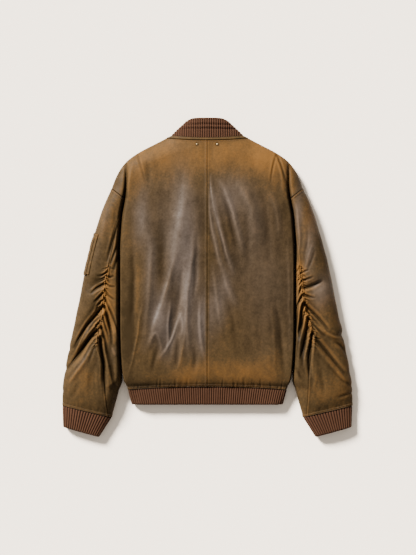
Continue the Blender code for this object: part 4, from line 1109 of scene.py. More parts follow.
class Wires:
    """Shorthand for adding joined nodes to one tree."""

    def __init__(self, tree: NodeTree) -> None:
        """Keeps the tree."""
        self.tree = tree

    def feed(self, node: Node, inputs: dict) -> None:
        """Sets inputs by name or number, to sockets, numbers or colours of three numbers."""
        for key, value in inputs.items():
            target = node.inputs[key]
            if isinstance(value, NodeSocket):
                self.tree.links.new(value, target)
            else:
                target.default_value = (*value, 1.0) if target.type == "RGBA" else value

    def node(self, kind: str, inputs: dict | None = None, **settings: object) -> Node:
        """Adds a node of one of Blender's kinds, with its inputs and its own settings."""
        made = self.tree.nodes.new(kind)
        for key, value in settings.items():
            setattr(made, key, value)
        self.feed(made, inputs or {})
        return made

    def maths(self, operation: str, first: object, second: object = 0.0, third: object = 0.0,
              clamp: bool = False) -> NodeSocket:
        """Adds one sum and returns its result."""
        return self.node("ShaderNodeMath", {0: first, 1: second, 2: third}, operation=operation,
                         use_clamp=clamp).outputs[0]

    def mix(self, share: object, first: object, second: object) -> NodeSocket:
        """Mixes two colours and returns the result."""
        return self.node("ShaderNodeMix", {0: share, 6: first, 7: second},
                         data_type="RGBA").outputs[2]

    def noise(self, vector: NodeSocket, scale: float, detail: float = 3.0,
              roughness: float = 0.55) -> NodeSocket:
        """Adds noise and returns its value."""
        inputs = {"Vector": vector, "Scale": scale, "Detail": detail, "Roughness": roughness}
        return self.node("ShaderNodeTexNoise", inputs).outputs["Fac"]

    def group(self, tree: NodeTree, vector: NodeSocket, **weights: float) -> NodeSocket:
        """Adds a node group with its weights and returns its value."""
        inputs = {"Vector": vector, **weights}
        return self.node("ShaderNodeGroup", inputs, node_tree=tree).outputs[0]

    def marks(self) -> list[NodeSocket]:
        """Reads a piece's own marks: rubbed tan with some painted light, painted sheen and painted
        shade.
        """
        stored = self.node("ShaderNodeAttribute", attribute_name="wear_sheen_and_shade").outputs["Color"]
        return list(self.node("ShaderNodeSeparateColor", {0: stored}).outputs)

    def bump(self, height: NodeSocket, distance: float, strength: float) -> NodeSocket:
        """Turns a height into a shader's normal."""
        inputs = {"Height": height, "Distance": distance, "Strength": strength}
        return self.node("ShaderNodeBump", inputs).outputs[0]


def uneven_tone() -> NodeTree:
    """Shared effect: clouds, lengthwise streaks, blotches and specks, added up by weight."""
    tree = bpy.data.node_groups.new("uneven_tone", "ShaderNodeTree")
    tree.interface.new_socket("Vector", in_out="INPUT", socket_type="NodeSocketVector")
    for title, weight in (("Clouds", 0.3), ("Streaks", 0.2), ("Blotches", 0.2), ("Specks", 0.1)):
        socket = tree.interface.new_socket(title, in_out="INPUT", socket_type="NodeSocketFloat")
        socket.default_value = weight
    tree.interface.new_socket("Value", in_out="OUTPUT", socket_type="NodeSocketFloat")
    wires, source = Wires(tree), tree.nodes.new("NodeGroupInput").outputs
    vector = source["Vector"]
    long_way = wires.node("ShaderNodeMapping", {"Vector": vector, "Scale": (95.0, 11.0, 95.0)})
    parts = {
        "Clouds": wires.noise(vector, 16.0, 8.0, 0.68),
        "Streaks": wires.noise(long_way.outputs[0], 1.0, 3.0, 0.6),
        "Blotches": wires.noise(vector, 62.0, 4.0, 0.62),
        "Specks": wires.noise(vector, 190.0, 4.0, 0.7),
    }
    total = 0.0
    for title, value in parts.items():
        centred = wires.maths("SUBTRACT", value, 0.5)
        total = wires.maths("MULTIPLY_ADD", centred, source[title], total)
    wires.feed(tree.nodes.new("NodeGroupOutput"), {"Value": total})
    return tree


def new_material(name: str) -> tuple[Material, Wires, Node]:
    """Starts a material and returns it with its wires and its shader."""
    made = bpy.data.materials.new(name)
    made.use_nodes = True
    return made, Wires(made.node_tree), made.node_tree.nodes["Principled BSDF"]


@dataclass(frozen=True)
class WaxedLeather:
    """Waxed leather: dark olive brown, rubbed to tan (with some painted light), with painted
    grey sheen on its ridges and painted shade in its hollows.
    """

    painted_shade_colour: Colour = (0.0026, 0.0013, 0.0004)
    olive: Colour = (0.0170, 0.0103, 0.0042)
    brown: Colour = (0.0310, 0.0184, 0.0075)
    tan: Colour = (0.0560, 0.0284, 0.0092)
    orange: Colour = (0.0870, 0.0395, 0.0105)
    painted_sheen: Colour = (0.0640, 0.0475, 0.0375)

    @staticmethod
    def grain(wires: Wires, place: NodeSocket) -> NodeSocket:
        """Height of the grain: rounded cells with creases between, and fine wrinkles over them."""
        cells = wires.node("ShaderNodeTexVoronoi", {
            "Vector": place, "Scale": 620.0, "Smoothness": 0.6}, feature="SMOOTH_F1")
        wrinkle = wires.node("ShaderNodeTexNoise", {
            "Vector": place, "Scale": 75.0, "Detail": 4.0, "Roughness": 0.62, "Distortion": 0.4})
        ridged = wires.maths("ABSOLUTE", wires.maths("SUBTRACT", wrinkle.outputs["Fac"], 0.5))
        round_top = wires.maths("SUBTRACT", 1.0, cells.outputs["Distance"])
        return wires.maths("MULTIPLY_ADD", ridged, 2.4, round_top)

    def material(self, uneven_group: NodeTree) -> Material:
        """Builds the material, which reads the piece's own marks: wear, painted sheen and painted
        shade.

        Args:
            uneven_group: The uneven tone.

        Returns:
            The material.
        """
        made, wires, shader = new_material("waxed_leather")
        place = wires.node("ShaderNodeTexCoord").outputs["Object"]
        rubbed_and_lit, painted_sheen, dark = wires.marks()
        uneven = wires.group(uneven_group, place, Clouds=0.62, Streaks=0.06, Blotches=0.36,
                             Specks=0.6)
        # The tone follows the rubbed tan, which holds some painted light, and the uneven tone.
        ramp = wires.node("ShaderNodeValToRGB", {0: wires.maths("ADD", rubbed_and_lit, uneven, clamp=True)})
        stops = ramp.color_ramp.elements
        stops[0].position, stops[1].position = 0.08, 0.92
        for at in (0.36, 0.62):
            stops.new(at)
        for stop, colour in zip(stops, (self.olive, self.brown, self.tan, self.orange)):
            stop.color = (*colour, 1.0)
        # Painted sheen: grey mixed into the colour, which also raises the specular level below.
        cloudy = wires.maths("MULTIPLY_ADD", uneven, 1.15, 0.78, clamp=True)
        veil = wires.maths("MULTIPLY", painted_sheen, cloudy, clamp=True)
        colour = wires.mix(veil, ramp.outputs[0], self.painted_sheen)
        # Painted shade: near black mixed in where the shade mark is.
        colour = wires.mix(wires.maths("MULTIPLY", dark, 0.85), colour, self.painted_shade_colour)
        rough = wires.maths("MULTIPLY_ADD", rubbed_and_lit, 0.14, 0.43)
        rough = wires.maths("MULTIPLY_ADD", uneven, 0.25, rough)
        rough = wires.maths("MULTIPLY_ADD", painted_sheen, -0.08, rough, clamp=True)
        shine = wires.maths("MULTIPLY_ADD", veil, 0.29, 0.032)
        for mark, loss in ((rubbed_and_lit, -0.8), (dark, -0.85)):
            kept = wires.maths("MULTIPLY_ADD", mark, loss, 1.0, clamp=True)
            shine = wires.maths("MULTIPLY", shine, kept)
        wires.feed(shader, {"Base Color": colour, "Roughness": rough, "Specular IOR Level": shine,
                            "Normal": wires.bump(self.grain(wires, place), 0.22 * MM, 0.8)})
        return made


@dataclass(frozen=True)
class RibKnit:
    """Ribbed wool knit: reddish brown, with painted shade in the lines between the ribs."""

    face: Colour = (0.0358, 0.0150, 0.0068)
    painted_groove_shade: Colour = (0.0075, 0.0026, 0.0012)
    fuzz: Colour = (0.0550, 0.0245, 0.0132)
    stitch: float = 2.3 * MM

    def material(self, uneven_group: NodeTree) -> Material:
        """Builds the material. Loops of the knit are bumps along the ribs, on the piece's map.

        Args:
            uneven_group: The uneven tone.

        Returns:
            The material.
        """
        made, wires, shader = new_material("rib_knit")
        place = wires.node("ShaderNodeTexCoord")
        uneven = wires.group(uneven_group, place.outputs["Object"], Clouds=0.7, Streaks=0.3,
                             Specks=1.1)
        tone = wires.maths("ADD", 0.35, uneven, clamp=True)
        # Painted shade: the colour goes towards the groove colour where the shade mark is.
        colour = wires.mix(wires.marks()[2], wires.mix(tone, self.face, self.fuzz), self.painted_groove_shade)
        across, along, _ = wires.node("ShaderNodeSeparateXYZ", {0: place.outputs["UV"]}).outputs
        slant = wires.maths("PINGPONG", wires.maths("MULTIPLY", across, 1 / self.stitch), 0.5)
        row = wires.maths("MULTIPLY_ADD", along, 1 / self.stitch, slant)
        loops = wires.maths("SINE", wires.maths("MULTIPLY", row, 2 * math.pi))
        hair = wires.noise(place.outputs["Object"], 1500.0, 2.0)
        height = wires.maths("MULTIPLY_ADD", hair, 1.2, loops)
        wires.feed(shader, {"Base Color": colour, "Roughness": 0.92, "Specular IOR Level": 0.06,
                            "Normal": wires.bump(height, 0.18 * MM, 0.9)})
        return made


@dataclass(frozen=True)
class AgedMetal:
    """Metal with tarnish in uneven patches."""

    name: str
    bright: Colour
    tarnish: Colour
    roughness: float = 0.34

    def material(self, uneven_group: NodeTree) -> Material:
        """Builds the material.

        Args:
            uneven_group: The uneven tone.

        Returns:
            The material.
        """
        made, wires, shader = new_material(self.name)
        place = wires.node("ShaderNodeTexCoord").outputs["Object"]
        uneven = wires.group(uneven_group, place, Clouds=0.8, Specks=1.2)
        tone = wires.maths("ADD", 0.35, uneven, clamp=True)
        rough = wires.maths("MULTIPLY_ADD", tone, 0.25, self.roughness - 0.08)
        wires.feed(shader, {"Base Color": wires.mix(tone, self.bright, self.tarnish),
                            "Roughness": rough, "Metallic": 1.0})
        return made


@dataclass(frozen=True)
class Fibre:
    """Thread or woven tape."""

    name: str
    colour: Colour
    shade: Colour

    def material(self, uneven_group: NodeTree) -> Material:
        """Builds the material, with a fine weave as bumps.

        Args:
            uneven_group: The uneven tone.

        Returns:
            The material.
        """
        made, wires, shader = new_material(self.name)
        place = wires.node("ShaderNodeTexCoord").outputs["Object"]
        tone = wires.maths("ADD", 0.4, wires.group(uneven_group, place, Specks=1.5), clamp=True)
        bands = {"Vector": place, "Scale": 900.0, "Distortion": 1.0}
        weave = wires.node("ShaderNodeTexWave", bands, bands_direction="DIAGONAL")
        wires.feed(shader, {"Base Color": wires.mix(tone, self.colour, self.shade),
                            "Roughness": 0.75,
                            "Normal": wires.bump(weave.outputs["Fac"], 0.08 * MM, 0.7)})
        return made


class Workshop:
    """All finishes of the jacket, and the seamstress."""

    def __init__(self) -> None:
        """Builds every finish once."""
        uneven_group = uneven_tone()
        brass = AgedMetal("aged_brass", (0.26, 0.17, 0.075), (0.09, 0.052, 0.022))
        stud = AgedMetal("stud_metal", (0.19, 0.135, 0.07), (0.09, 0.06, 0.03), 0.36)
        thread = Fibre("brown_thread", (0.03, 0.016, 0.005), (0.017, 0.009, 0.003))
        tape = Fibre("zip_tape", (0.0085, 0.0055, 0.0035), (0.0045, 0.003, 0.002))
        self.leather, self.knit, self.brass, self.stud, self.thread, self.tape = (
            finish.material(uneven_group)
            for finish in (WaxedLeather(), RibKnit(), brass, stud, thread, tape))
        self.seamstress = Seamstress(Thread())
        self.sew = self.seamstress.sew


def dress(piece: Object, finish: Material, slot: str, *nodes: str) -> None:
    """Gives a piece its finish and its body, and hides the imported nodes that it stands for."""
    piece.data.materials.append(finish)
    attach(piece, "garment")
    if nodes:
        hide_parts(*nodes)
    LOG.info("%s: %d faces", piece.name, len(piece.data.polygons))


def make_sheet(name: str, cloth: Cloth, wall: float, finish: Material, slot: str, node: str,
               *rests_on: str) -> None:
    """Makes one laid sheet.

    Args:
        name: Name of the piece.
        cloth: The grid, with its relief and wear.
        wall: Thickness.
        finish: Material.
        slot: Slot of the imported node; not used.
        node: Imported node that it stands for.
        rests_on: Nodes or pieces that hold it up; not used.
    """
    piece = shell(name, cloth, wall)
    dress(piece, finish, slot, node)


# ---- shared relief
TRENCH = (
    # y depth of the narrow fold between body and sleeve, in metres
    (0.03, 0.0), (0.08, 0.006), (0.13, 0.009), (0.19, 0.01), (0.235, 0.009),
    (0.275, 0.0065), (0.3, 0.003), (0.318, 0.0),
)
OUTLINE_DENTS = {
    # y, width and push outwards in millimetres
    Hand.LEFT: ((112, 4, 0.8), (84, 22, 1.2), (-186, 7, -1.8), (-172, 9, 0.8), (-238, 7, -1.6),
                (-224, 9, 0.9), (-296, 7, -1.4), (30, 40, 0.8)),
    Hand.RIGHT: ((-150, 7, -3.2), (-132, 11, 1.8), (-176, 12, 1.0), (-262, 8, 1.2), (-282, 7, -1.6),
                 (-300, 5, -1.4), (60, 40, 0.8), (-222, 14, 0.8)),
}


def zones(table: Table, x: Array, y: Array) -> Array:
    """Adds up the bells of a table of zones, whose rows may leave out the angle."""
    total = np.zeros_like(x)
    for zone_x, zone_y, across, along, *angle, amount in table:
        off_x, off_y = x / MM - zone_x, y / MM - zone_y
        cosine, sine = math.cos(math.radians(sum(angle))), math.sin(math.radians(sum(angle)))
        gap = ((off_x * cosine - off_y * sine) / across) ** 2
        total += amount * np.exp(-gap - ((off_x * sine + off_y * cosine) / along) ** 2)
    return total


def drift(x: Array, y: Array) -> tuple[Array, Array]:
    """Small uneven shift that keeps listed lines from running too true."""
    return (x + 1.5 * MM * waves(x, y, 0.060, 3, 1.4), y + 1.5 * MM * waves(x, y, 0.075, 4))


def supple(x: Array, y: Array) -> Array:
    """Soft unevenness of leather that has been worn: long slow waves and short ones."""
    return (0.50 * MM * waves(x, y, 0.060, 11, 1.8) + 0.14 * MM * waves(x, y, 0.026, 12, 1.3)
            + 0.05 * MM * waves(x, y, 0.011, 13, 1.1))


def trench(gap: Array, y: Array) -> Array:
    """Narrow deep fold along the crease between body and sleeve."""
    return -curve(TRENCH, 1, y) * np.exp(-((gap / (4.2 * MM)) ** 1.25))


def outline_push(points: Array, hand: Hand) -> Array:
    """Moves points near the outline in or out, so that the edge runs unevenly."""
    x, y = np.abs(points[..., 0]), points[..., 1]
    near = bell(FORM.outline_distance(x, y), 0.016)
    push = sum(amount * MM * bell(y - at * MM, width * MM)
               for at, width, amount in OUTLINE_DENTS[hand])
    push = push + 0.5 * MM * waves(y, 0 * y, 0.045, 21 + hand.value)
    moved = points.copy()
    moved[..., 0] += hand.value * push * near
    return moved


def puckers(places: Array, y_at: Callable[[Array], Array], lengths: tuple[float, float],
            seed: int, depth: tuple[float, float]) -> list[tuple[float, ...]]:
    """Short uneven troughs that stand on a sewn edge.

    Args:
        places: X of the troughs, in metres.
        y_at: Height of the edge at a place.
        lengths: Shortest and longest, in millimetres.
        seed: Seed of their unevenness.
        depth: Least and greatest depth, in millimetres.

    Returns:
        Rows for the crease tables.
    """
    draw = np.random.default_rng(seed)
    rows = []
    for x, y in zip(places / MM, y_at(places) / MM):
        length, lean = draw.uniform(*lengths), draw.uniform(-5, 5)
        rows.append((x, y + 1.5, x + lean / 2, y + length / 2, x + lean, y + length,
                     draw.uniform(1.6, 2.8), -draw.uniform(*depth), 1.6, 0, 0, 1))
    return rows


# ---- body
@dataclass
class BodyPanels:
    """Back and front panels of one side."""

    shop: Workshop
    hand: Hand
    wall: float = 1.5 * MM
    coarse_across: float = 1.75 * MM
    coarse_up: float = 3.0 * MM
    stitch_inset: float = 5.2 * MM
    hem_strip: float = 9.0 * MM

    def build_back(self) -> None:
        """Builds, wears and dresses the back panel, with painted sheen, painted light and painted
        shade, and sews its rows of stitches.
        """
        hand = self.hand
        across = stations(0.2265, self.coarse_across, 0.6 * MM, (9 * MM, 14 * MM))
        u, v = grid(across, stations(0.66, self.coarse_up, 1.1 * MM, (14 * MM, 10 * MM)))
        cloth = Cloth(outline_push(FORM.back_surface(u, v, hand), hand), (0.3, 0.5))
        x, y = cloth.x, cloth.y
        wander_x, wander_y = drift(x, y)
        inside = ease((cloth.base[..., 2] - FORM.edge_height) / 0.012)
        height, painted_sheen = creases(BACK_CREASES, wander_x, wander_y)
        seams, _ = creases(SHOULDER_SEAMS, x, y)
        places = np.array(sorted(np.random.default_rng(31 + hand.value).uniform(0.008, 0.198, 17)))
        hem, _ = creases(puckers(hand.value * places, lambda at: -0.2834 - 0.2 * at ** 2, (8, 30),
                                 40 + hand.value, (0.25, 1.0)), x, y)
        keep = ease(cloth.gap(Edge.FIRST_U) / (9 * MM)) * ease(cloth.gap(Edge.LAST_V) / (14 * MM))
        keep = keep * ease(cloth.gap(Edge.FIRST_V) / (4 * MM))
        fold = trench(np.abs(np.abs(x) - curve(CREASE, 1, y)), y)
        cloth.lift(inside * (keep * (height + supple(x, y)) + seams + hem * keep) + fold)
        # Painted sheen along the creases and in broad zones.
        cloth.painted_sheen = (painted_sheen + zones(PAINTED_SHEEN_ZONES, wander_x, wander_y)) * keep
        on_left = hand is Hand.LEFT
        cloth.allowance(Edge.FIRST_U, self.stitch_inset + 1.5 * MM, (0.5 if on_left else 0.15) * MM)
        cloth.allowance(Edge.FIRST_V, self.hem_strip, 0.7 * MM, inside)
        cloth.allowance(Edge.LAST_V, 4.5 * MM, 0.35 * MM)
        cloth.turn_under((Edge.LAST_V,))
        cloth.turn_under((Edge.FIRST_V,), 0.9 * MM, 1.1 * MM, 0.65)
        cloth.turn_under((Edge.FIRST_U,), 0.5 * MM, 1.0 * MM, 0.5)
        cloth.turn_under((Edge.LAST_U,), 0.5 * MM, 1.2 * MM, 0.35)
        # Rubbed tan; some zones hold painted light and painted shade.
        cloth.tan = 0.26 + zones(WEAR_LIGHT_AND_SHADE_ZONES, x, y)
        cloth.tan += 0.05 * bell(cloth.gap(Edge.FIRST_U) - 3.5 * MM, 2.5 * MM)
        cloth.tan += 0.16 * bell(cloth.gap(Edge.FIRST_V) - 5 * MM, 4 * MM)
        ring = np.hypot(np.abs(x) - NeckPieces.stud_place[0], y - NeckPieces.stud_place[1])
        cloth.lift(-0.9 * MM * bell(ring, 5.0 * MM))
        # Painted shade in a ring round the stud.
        cloth.dark = np.maximum(cloth.dark, 0.55 * bell(ring - 3.6 * MM, 1.5 * MM))
        cloth.age(0.45)
        make_sheet(f"back_panel_{hand.word}", cloth, self.wall, self.shop.leather, "leather",
                   f"back_{hand.word}", f"front_{hand.word}")
        if on_left:
            self.shop.sew(cloth, Edge.FIRST_U, self.stitch_inset)
        self.shop.sew(cloth, Edge.FIRST_V, 2.4 * MM, 7.6 * MM, high=0.97)
        self.shop.sew(cloth, Edge.LAST_V, 3.2 * MM, high=0.97)

    def build_front(self) -> None:
        """Builds the front panel, which lies flat on the surface."""
        hand = self.hand
        flat = stations(0.21, 8 * MM, 1.2 * MM, (6 * MM, 0.0)) * 0.5
        across = np.concatenate((flat[:-1], np.linspace(0.5, 1.0, 9)))
        u, v = grid(across, stations(0.62, 9 * MM, 1.5 * MM, (8 * MM, 8 * MM)))
        base = outline_push(FORM.front_surface(u, v, hand), hand)
        cloth = Cloth(base, (0.3, 0.5), up=-1.0)
        cloth.tan = 0.34 + 0.1 * waves(cloth.x, cloth.y, 0.09, 51)
        inset = bell(cloth.gap(Edge.FIRST_U), 2 * MM) + bell(cloth.gap(Edge.FIRST_V), 2 * MM)
        cloth.puff(-0.5 * MM * inset)
        # Painted shade along the seam edges.
        cloth.dark = 0.6 * np.clip(inset, 0, 1)
        make_sheet(f"front_panel_{hand.word}", cloth, self.wall, self.shop.leather, "leather",
                   f"front_{hand.word}")
        self.shop.sew(cloth, Edge.FIRST_U, 4.5 * MM)
        self.shop.sew(cloth, Edge.FIRST_V, 3.0 * MM)


# ---- sleeves
@dataclass
class Sleeve:
    """One sleeve: outer and inner piece, gathered along the seam between them."""

    shop: Workshop
    hand: Hand
    wall: float = 1.5 * MM
    gather_top: float = 0.045
    gather_end: float = -0.183
    bead: float = 4.8 * MM

    def ruched_path(self) -> Array:
        """Points of the ruched seam."""
        y = np.linspace(0.160, -0.345, 60)
        return np.stack((self.hand.value * curve(RUCHED_SEAM[self.hand], 1, y), y), axis=-1)

    def gathers(self) -> list[tuple[float, ...]]:
        """Small wrinkles that leave the ruched seam on both sides and run down the sleeve."""
        draw = np.random.default_rng(60 + self.hand.value)
        out = self.hand.value
        rows = []
        y = self.gather_top - 0.012
        while y > self.gather_end + 0.004:
            y -= draw.uniform(2.6, 5.0) * MM
            x = out * float(curve(RUCHED_SEAM[self.hand], 1, y))
            for way, low, high, steep in ((out, 8, 30, (10, 48)), (-out, 7, 20, (25, 70))):
                angle = math.radians(draw.uniform(*steep))
                length = draw.uniform(low, high)
                end_x, end_y = way * math.cos(angle) * length, -math.sin(angle) * length
                bow = draw.uniform(-2, 2)
                rows.append((x / MM, y / MM, x / MM + end_x / 2, y / MM + end_y / 2 + bow,
                             x / MM + end_x, y / MM + end_y, draw.uniform(1.1, 1.7),
                             -draw.uniform(1.0, 2.2), 1.5, 0, 0, 1))
        return rows

    def ruche(self, x: Array, y: Array) -> tuple[Array, Array]:
        """Beaded ridges on both sides of the gathered seam.

        A low double ridge follows the seam. Beside it pits and small humps take turns, out of step
        with the other side.

        Args:
            x: X of the places.
            y: Y of the places.

        Returns:
            Height, and how near the gathers each place is (0 to 1).
        """
        gap, along, hand = nearest(self.ruched_path(), x, y)
        active = ease((self.gather_top - y) / 0.022) * ease((y - self.gather_end) / 0.020)
        step = 2 * math.pi * along / self.bead + 1.9 * hand + 2.4 * waves(along, hand, 0.030, 71)
        pits = (0.5 + 0.5 * np.sin(step)) ** 2 * (0.75 + 0.5 * waves(along, hand, 0.017, 72))
        ridge = (1.5 * bell(gap - 1.6 * MM, 1.9 * MM)
                 - 2.3 * pits * bell(gap - 5.2 * MM, 1.8 * MM)
                 + 0.8 * (1 - pits) * bell(gap - 5.2 * MM, 2.2 * MM))
        return MM * ridge * active, bell(gap, 7 * MM) * active

    def relief_wear_and_painted_light(self, cloth: Cloth, on_top: Array) -> None:
        """Adds creases, gathers, wear, painted sheen and painted light to one piece of the sleeve.
        """
        x, y = cloth.x, cloth.y
        wander_x, wander_y = drift(x, y)
        inside = ease((cloth.base[..., 2] - FORM.edge_height) / 0.014) * on_top
        height, painted_sheen = creases(SLEEVE_CREASES[self.hand], wander_x, wander_y)
        small, _ = creases(self.gathers(), x, y)
        ridge, near = self.ruche(x, y)
        places = self.hand.value * np.linspace(0.262, 0.365, 15)
        places = places + 3 * MM * waves(places, 0 * places, 0.01, 81)
        cuff, _ = creases(puckers(places, lambda at: -0.3755 + 0.1 * np.abs(at), (8, 22),
                                  82 + self.hand.value, (0.15, 0.5)), x, y)
        keep = ease(cloth.gap(Edge.LAST_V) / (5 * MM)) * ease(cloth.gap(Edge.FIRST_V) / (7 * MM))
        fold = trench(np.abs(np.abs(x) - curve(CREASE, 2, y)), y) * on_top
        relief = 1.3 * (height + supple(x, y)) + small + ridge + cuff
        cloth.lift(inside * keep * relief + fold)
        # Painted sheen along the creases and in broad zones.
        cloth.painted_sheen = (painted_sheen + zones(PAINTED_SHEEN_ZONES, x, y)) * keep * on_top
        cloth.tan = zones(WEAR_LIGHT_AND_SHADE_ZONES, x, y) + 0.14 * near
        # Painted light: the right sleeve, which faces away from the lamp, gets a lighter base.
        cloth.tan += 0.30 if self.hand is Hand.LEFT else 0.36
        cloth.tan += 0.10 * bell(cloth.gap(Edge.LAST_V) - 6 * MM, 5 * MM)

    def finish_piece(self, part: str, cloth: Cloth, on_top: Array) -> None:
        """Wears one piece, paints its sheen, light and shade, turns its seams under and builds it.

        Args:
            part: Which piece, "outer" or "inner".
            cloth: Its grid.
            on_top: 1 on the upper side and 0 underneath.
        """
        hand = self.hand.word
        self.relief_wear_and_painted_light(cloth, on_top)
        cloth.allowance(Edge.LAST_V, 8.5 * MM, 0.6 * MM)
        cloth.turn_under((Edge.LAST_U, Edge.LAST_V))
        cloth.turn_under((Edge.FIRST_U,), 0.5 * MM, 1.0 * MM, 0.5)
        cloth.age(0.75)
        make_sheet(f"sleeve_{part}_{hand}", cloth, self.wall, self.shop.leather, "leather",
                   f"sleeve_{hand}_{part}")
        self.shop.sew(cloth, Edge.LAST_V, 2.2 * MM, 7.0 * MM)

    def build_outer(self) -> None:
        """Builds the outer piece."""
        top = stations(0.13, 1.75 * MM, 0.8 * MM, (14 * MM, 6 * MM))
        below = np.concatenate((np.linspace(1.0, 1.5, 9)[1:], np.linspace(1.5, 2.0, 14)[1:]))
        down = stations(0.59, 1.7 * MM, 1.0 * MM, (10 * MM, 12 * MM))
        u, v = grid(np.concatenate((top, below)), down)
        base = FORM.sleeve_ring(*FORM.outer_cut(u, v, self.hand), self.hand)
        cloth = Cloth(outline_push(base, self.hand), (0.3, 0.5))
        low, high = cloth.y - self.gather_end, self.gather_top - cloth.y
        plain = 1 - ease(high / 0.02) * ease(low / 0.02)
        cloth.allowance(Edge.FIRST_U, 6 * MM, 0.5 * MM, plain * (u <= 1))
        cloth.allowance(Edge.FIRST_V, 7 * MM, 0.5 * MM)
        cloth.turn_under((Edge.FIRST_V,), 1.3 * MM, 1.9 * MM, 0.95)
        self.finish_piece("outer", cloth, ease((1.03 - u) / 0.06))
        self.shop.sew(cloth, Edge.FIRST_V, 2.0 * MM, 5.6 * MM)

    def build_inner(self) -> None:
        """Builds the inner piece."""
        top = stations(0.045, 1.5 * MM, 0.85 * MM, (10 * MM, 8 * MM))
        across = np.concatenate((top, np.linspace(1.0, 1.5, 8)[1:], np.linspace(1.5, 2.0, 7)[1:]))
        u, v = grid(across, stations(0.55, 1.7 * MM, 1.0 * MM, (6 * MM, 12 * MM)))
        cloth = Cloth(FORM.sleeve_ring(*FORM.inner_cut(u, v, self.hand), self.hand), (0.2, 0.6))
        self.finish_piece("inner", cloth, ease((1.03 - u) / 0.06))


@dataclass
class SleevePocket:
    """Patch pocket on the outer edge of the left sleeve, with its raised welt."""

    shop: Workshop
    lift: float = 0.5 * MM
    thick: float = 1.6 * MM
    welt_thick: float = 1.5 * MM

    def patch(self, u_range: tuple[float, float], v_range: tuple[float, float], base_lift: float,
              thick: float, counts: tuple[int, int]) -> Cloth:
        """Grid with rounded edges that lies on the sleeve's form.

        Args:
            u_range: Range across the outer piece.
            v_range: Range along it.
            base_lift: Height of the inner face above the form.
            thick: Thickness.
            counts: Points across and along.

        Returns:
            The grid, with its relief and wear.
        """
        u, v = grid(np.linspace(*u_range, counts[0]), np.linspace(*v_range, counts[1]))
        base = FORM.sleeve_ring(*FORM.outer_cut(u, v, Hand.LEFT), Hand.LEFT)
        cloth = Cloth(outline_push(base, Hand.LEFT), (0.1, 0.5))
        cloth.points = cloth.base + (base_lift + thick) * cloth.normals
        for edge in Edge:
            cloth.puff(-0.7 * thick * bell(cloth.gap(edge), 1.1 * MM))
            # Painted shade along the pocket's edges.
            cloth.dark = np.maximum(cloth.dark, 0.6 * bell(cloth.gap(edge), 1.0 * MM))
            cloth.tan += 0.16 * bell(cloth.gap(edge) - 2.2 * MM, 1.4 * MM)
        cloth.puff(0.35 * MM * waves(cloth.x, cloth.y, 0.02, 91))
        cloth.tan += 0.36 + zones(WEAR_LIGHT_AND_SHADE_ZONES, cloth.x, cloth.y)
        return cloth

    def build(self) -> None:
        """Builds pocket and welt and sews them round."""
        pocket = self.patch((0.56, 1.17), (0.205, 0.392), self.lift, self.thick, (44, 80))
        make_sheet("arm_pocket", pocket, self.thick, self.shop.leather, "leather", "sleeve_pocket",
                   "sleeve_outer_left")
        for edge in (Edge.FIRST_U, Edge.FIRST_V, Edge.LAST_V):
            self.shop.sew(pocket, edge, 2.4 * MM, low=0.04, high=0.96)
        welt = self.patch((0.68, 0.87), (0.225, 0.398), self.lift + self.thick + 0.2 * MM,
                          self.welt_thick, (20, 90))
        make_sheet("arm_pocket_welt", welt, self.welt_thick, self.shop.leather, "leather",
                   "sleeve_pocket_welt", "arm_pocket")
        for edge in (Edge.FIRST_U, Edge.LAST_U):
            self.shop.sew(welt, edge, 1.8 * MM, low=0.03, high=0.97)


# ---- ribs
def rib_shape(phase: Array) -> tuple[Array, Array]:
    """Section of rib knit.

    Args:
        phase: Count of ribs, 1 for each.

    Returns:
        Height from 0 to 1, with broad round ribs and narrow gaps, and the painted shade of the
        gaps.
    """
    across = np.abs(2 * (phase - np.floor(phase)) - 1)
    return 1 - across ** 2.2, ease((across - 0.42) / 0.5)


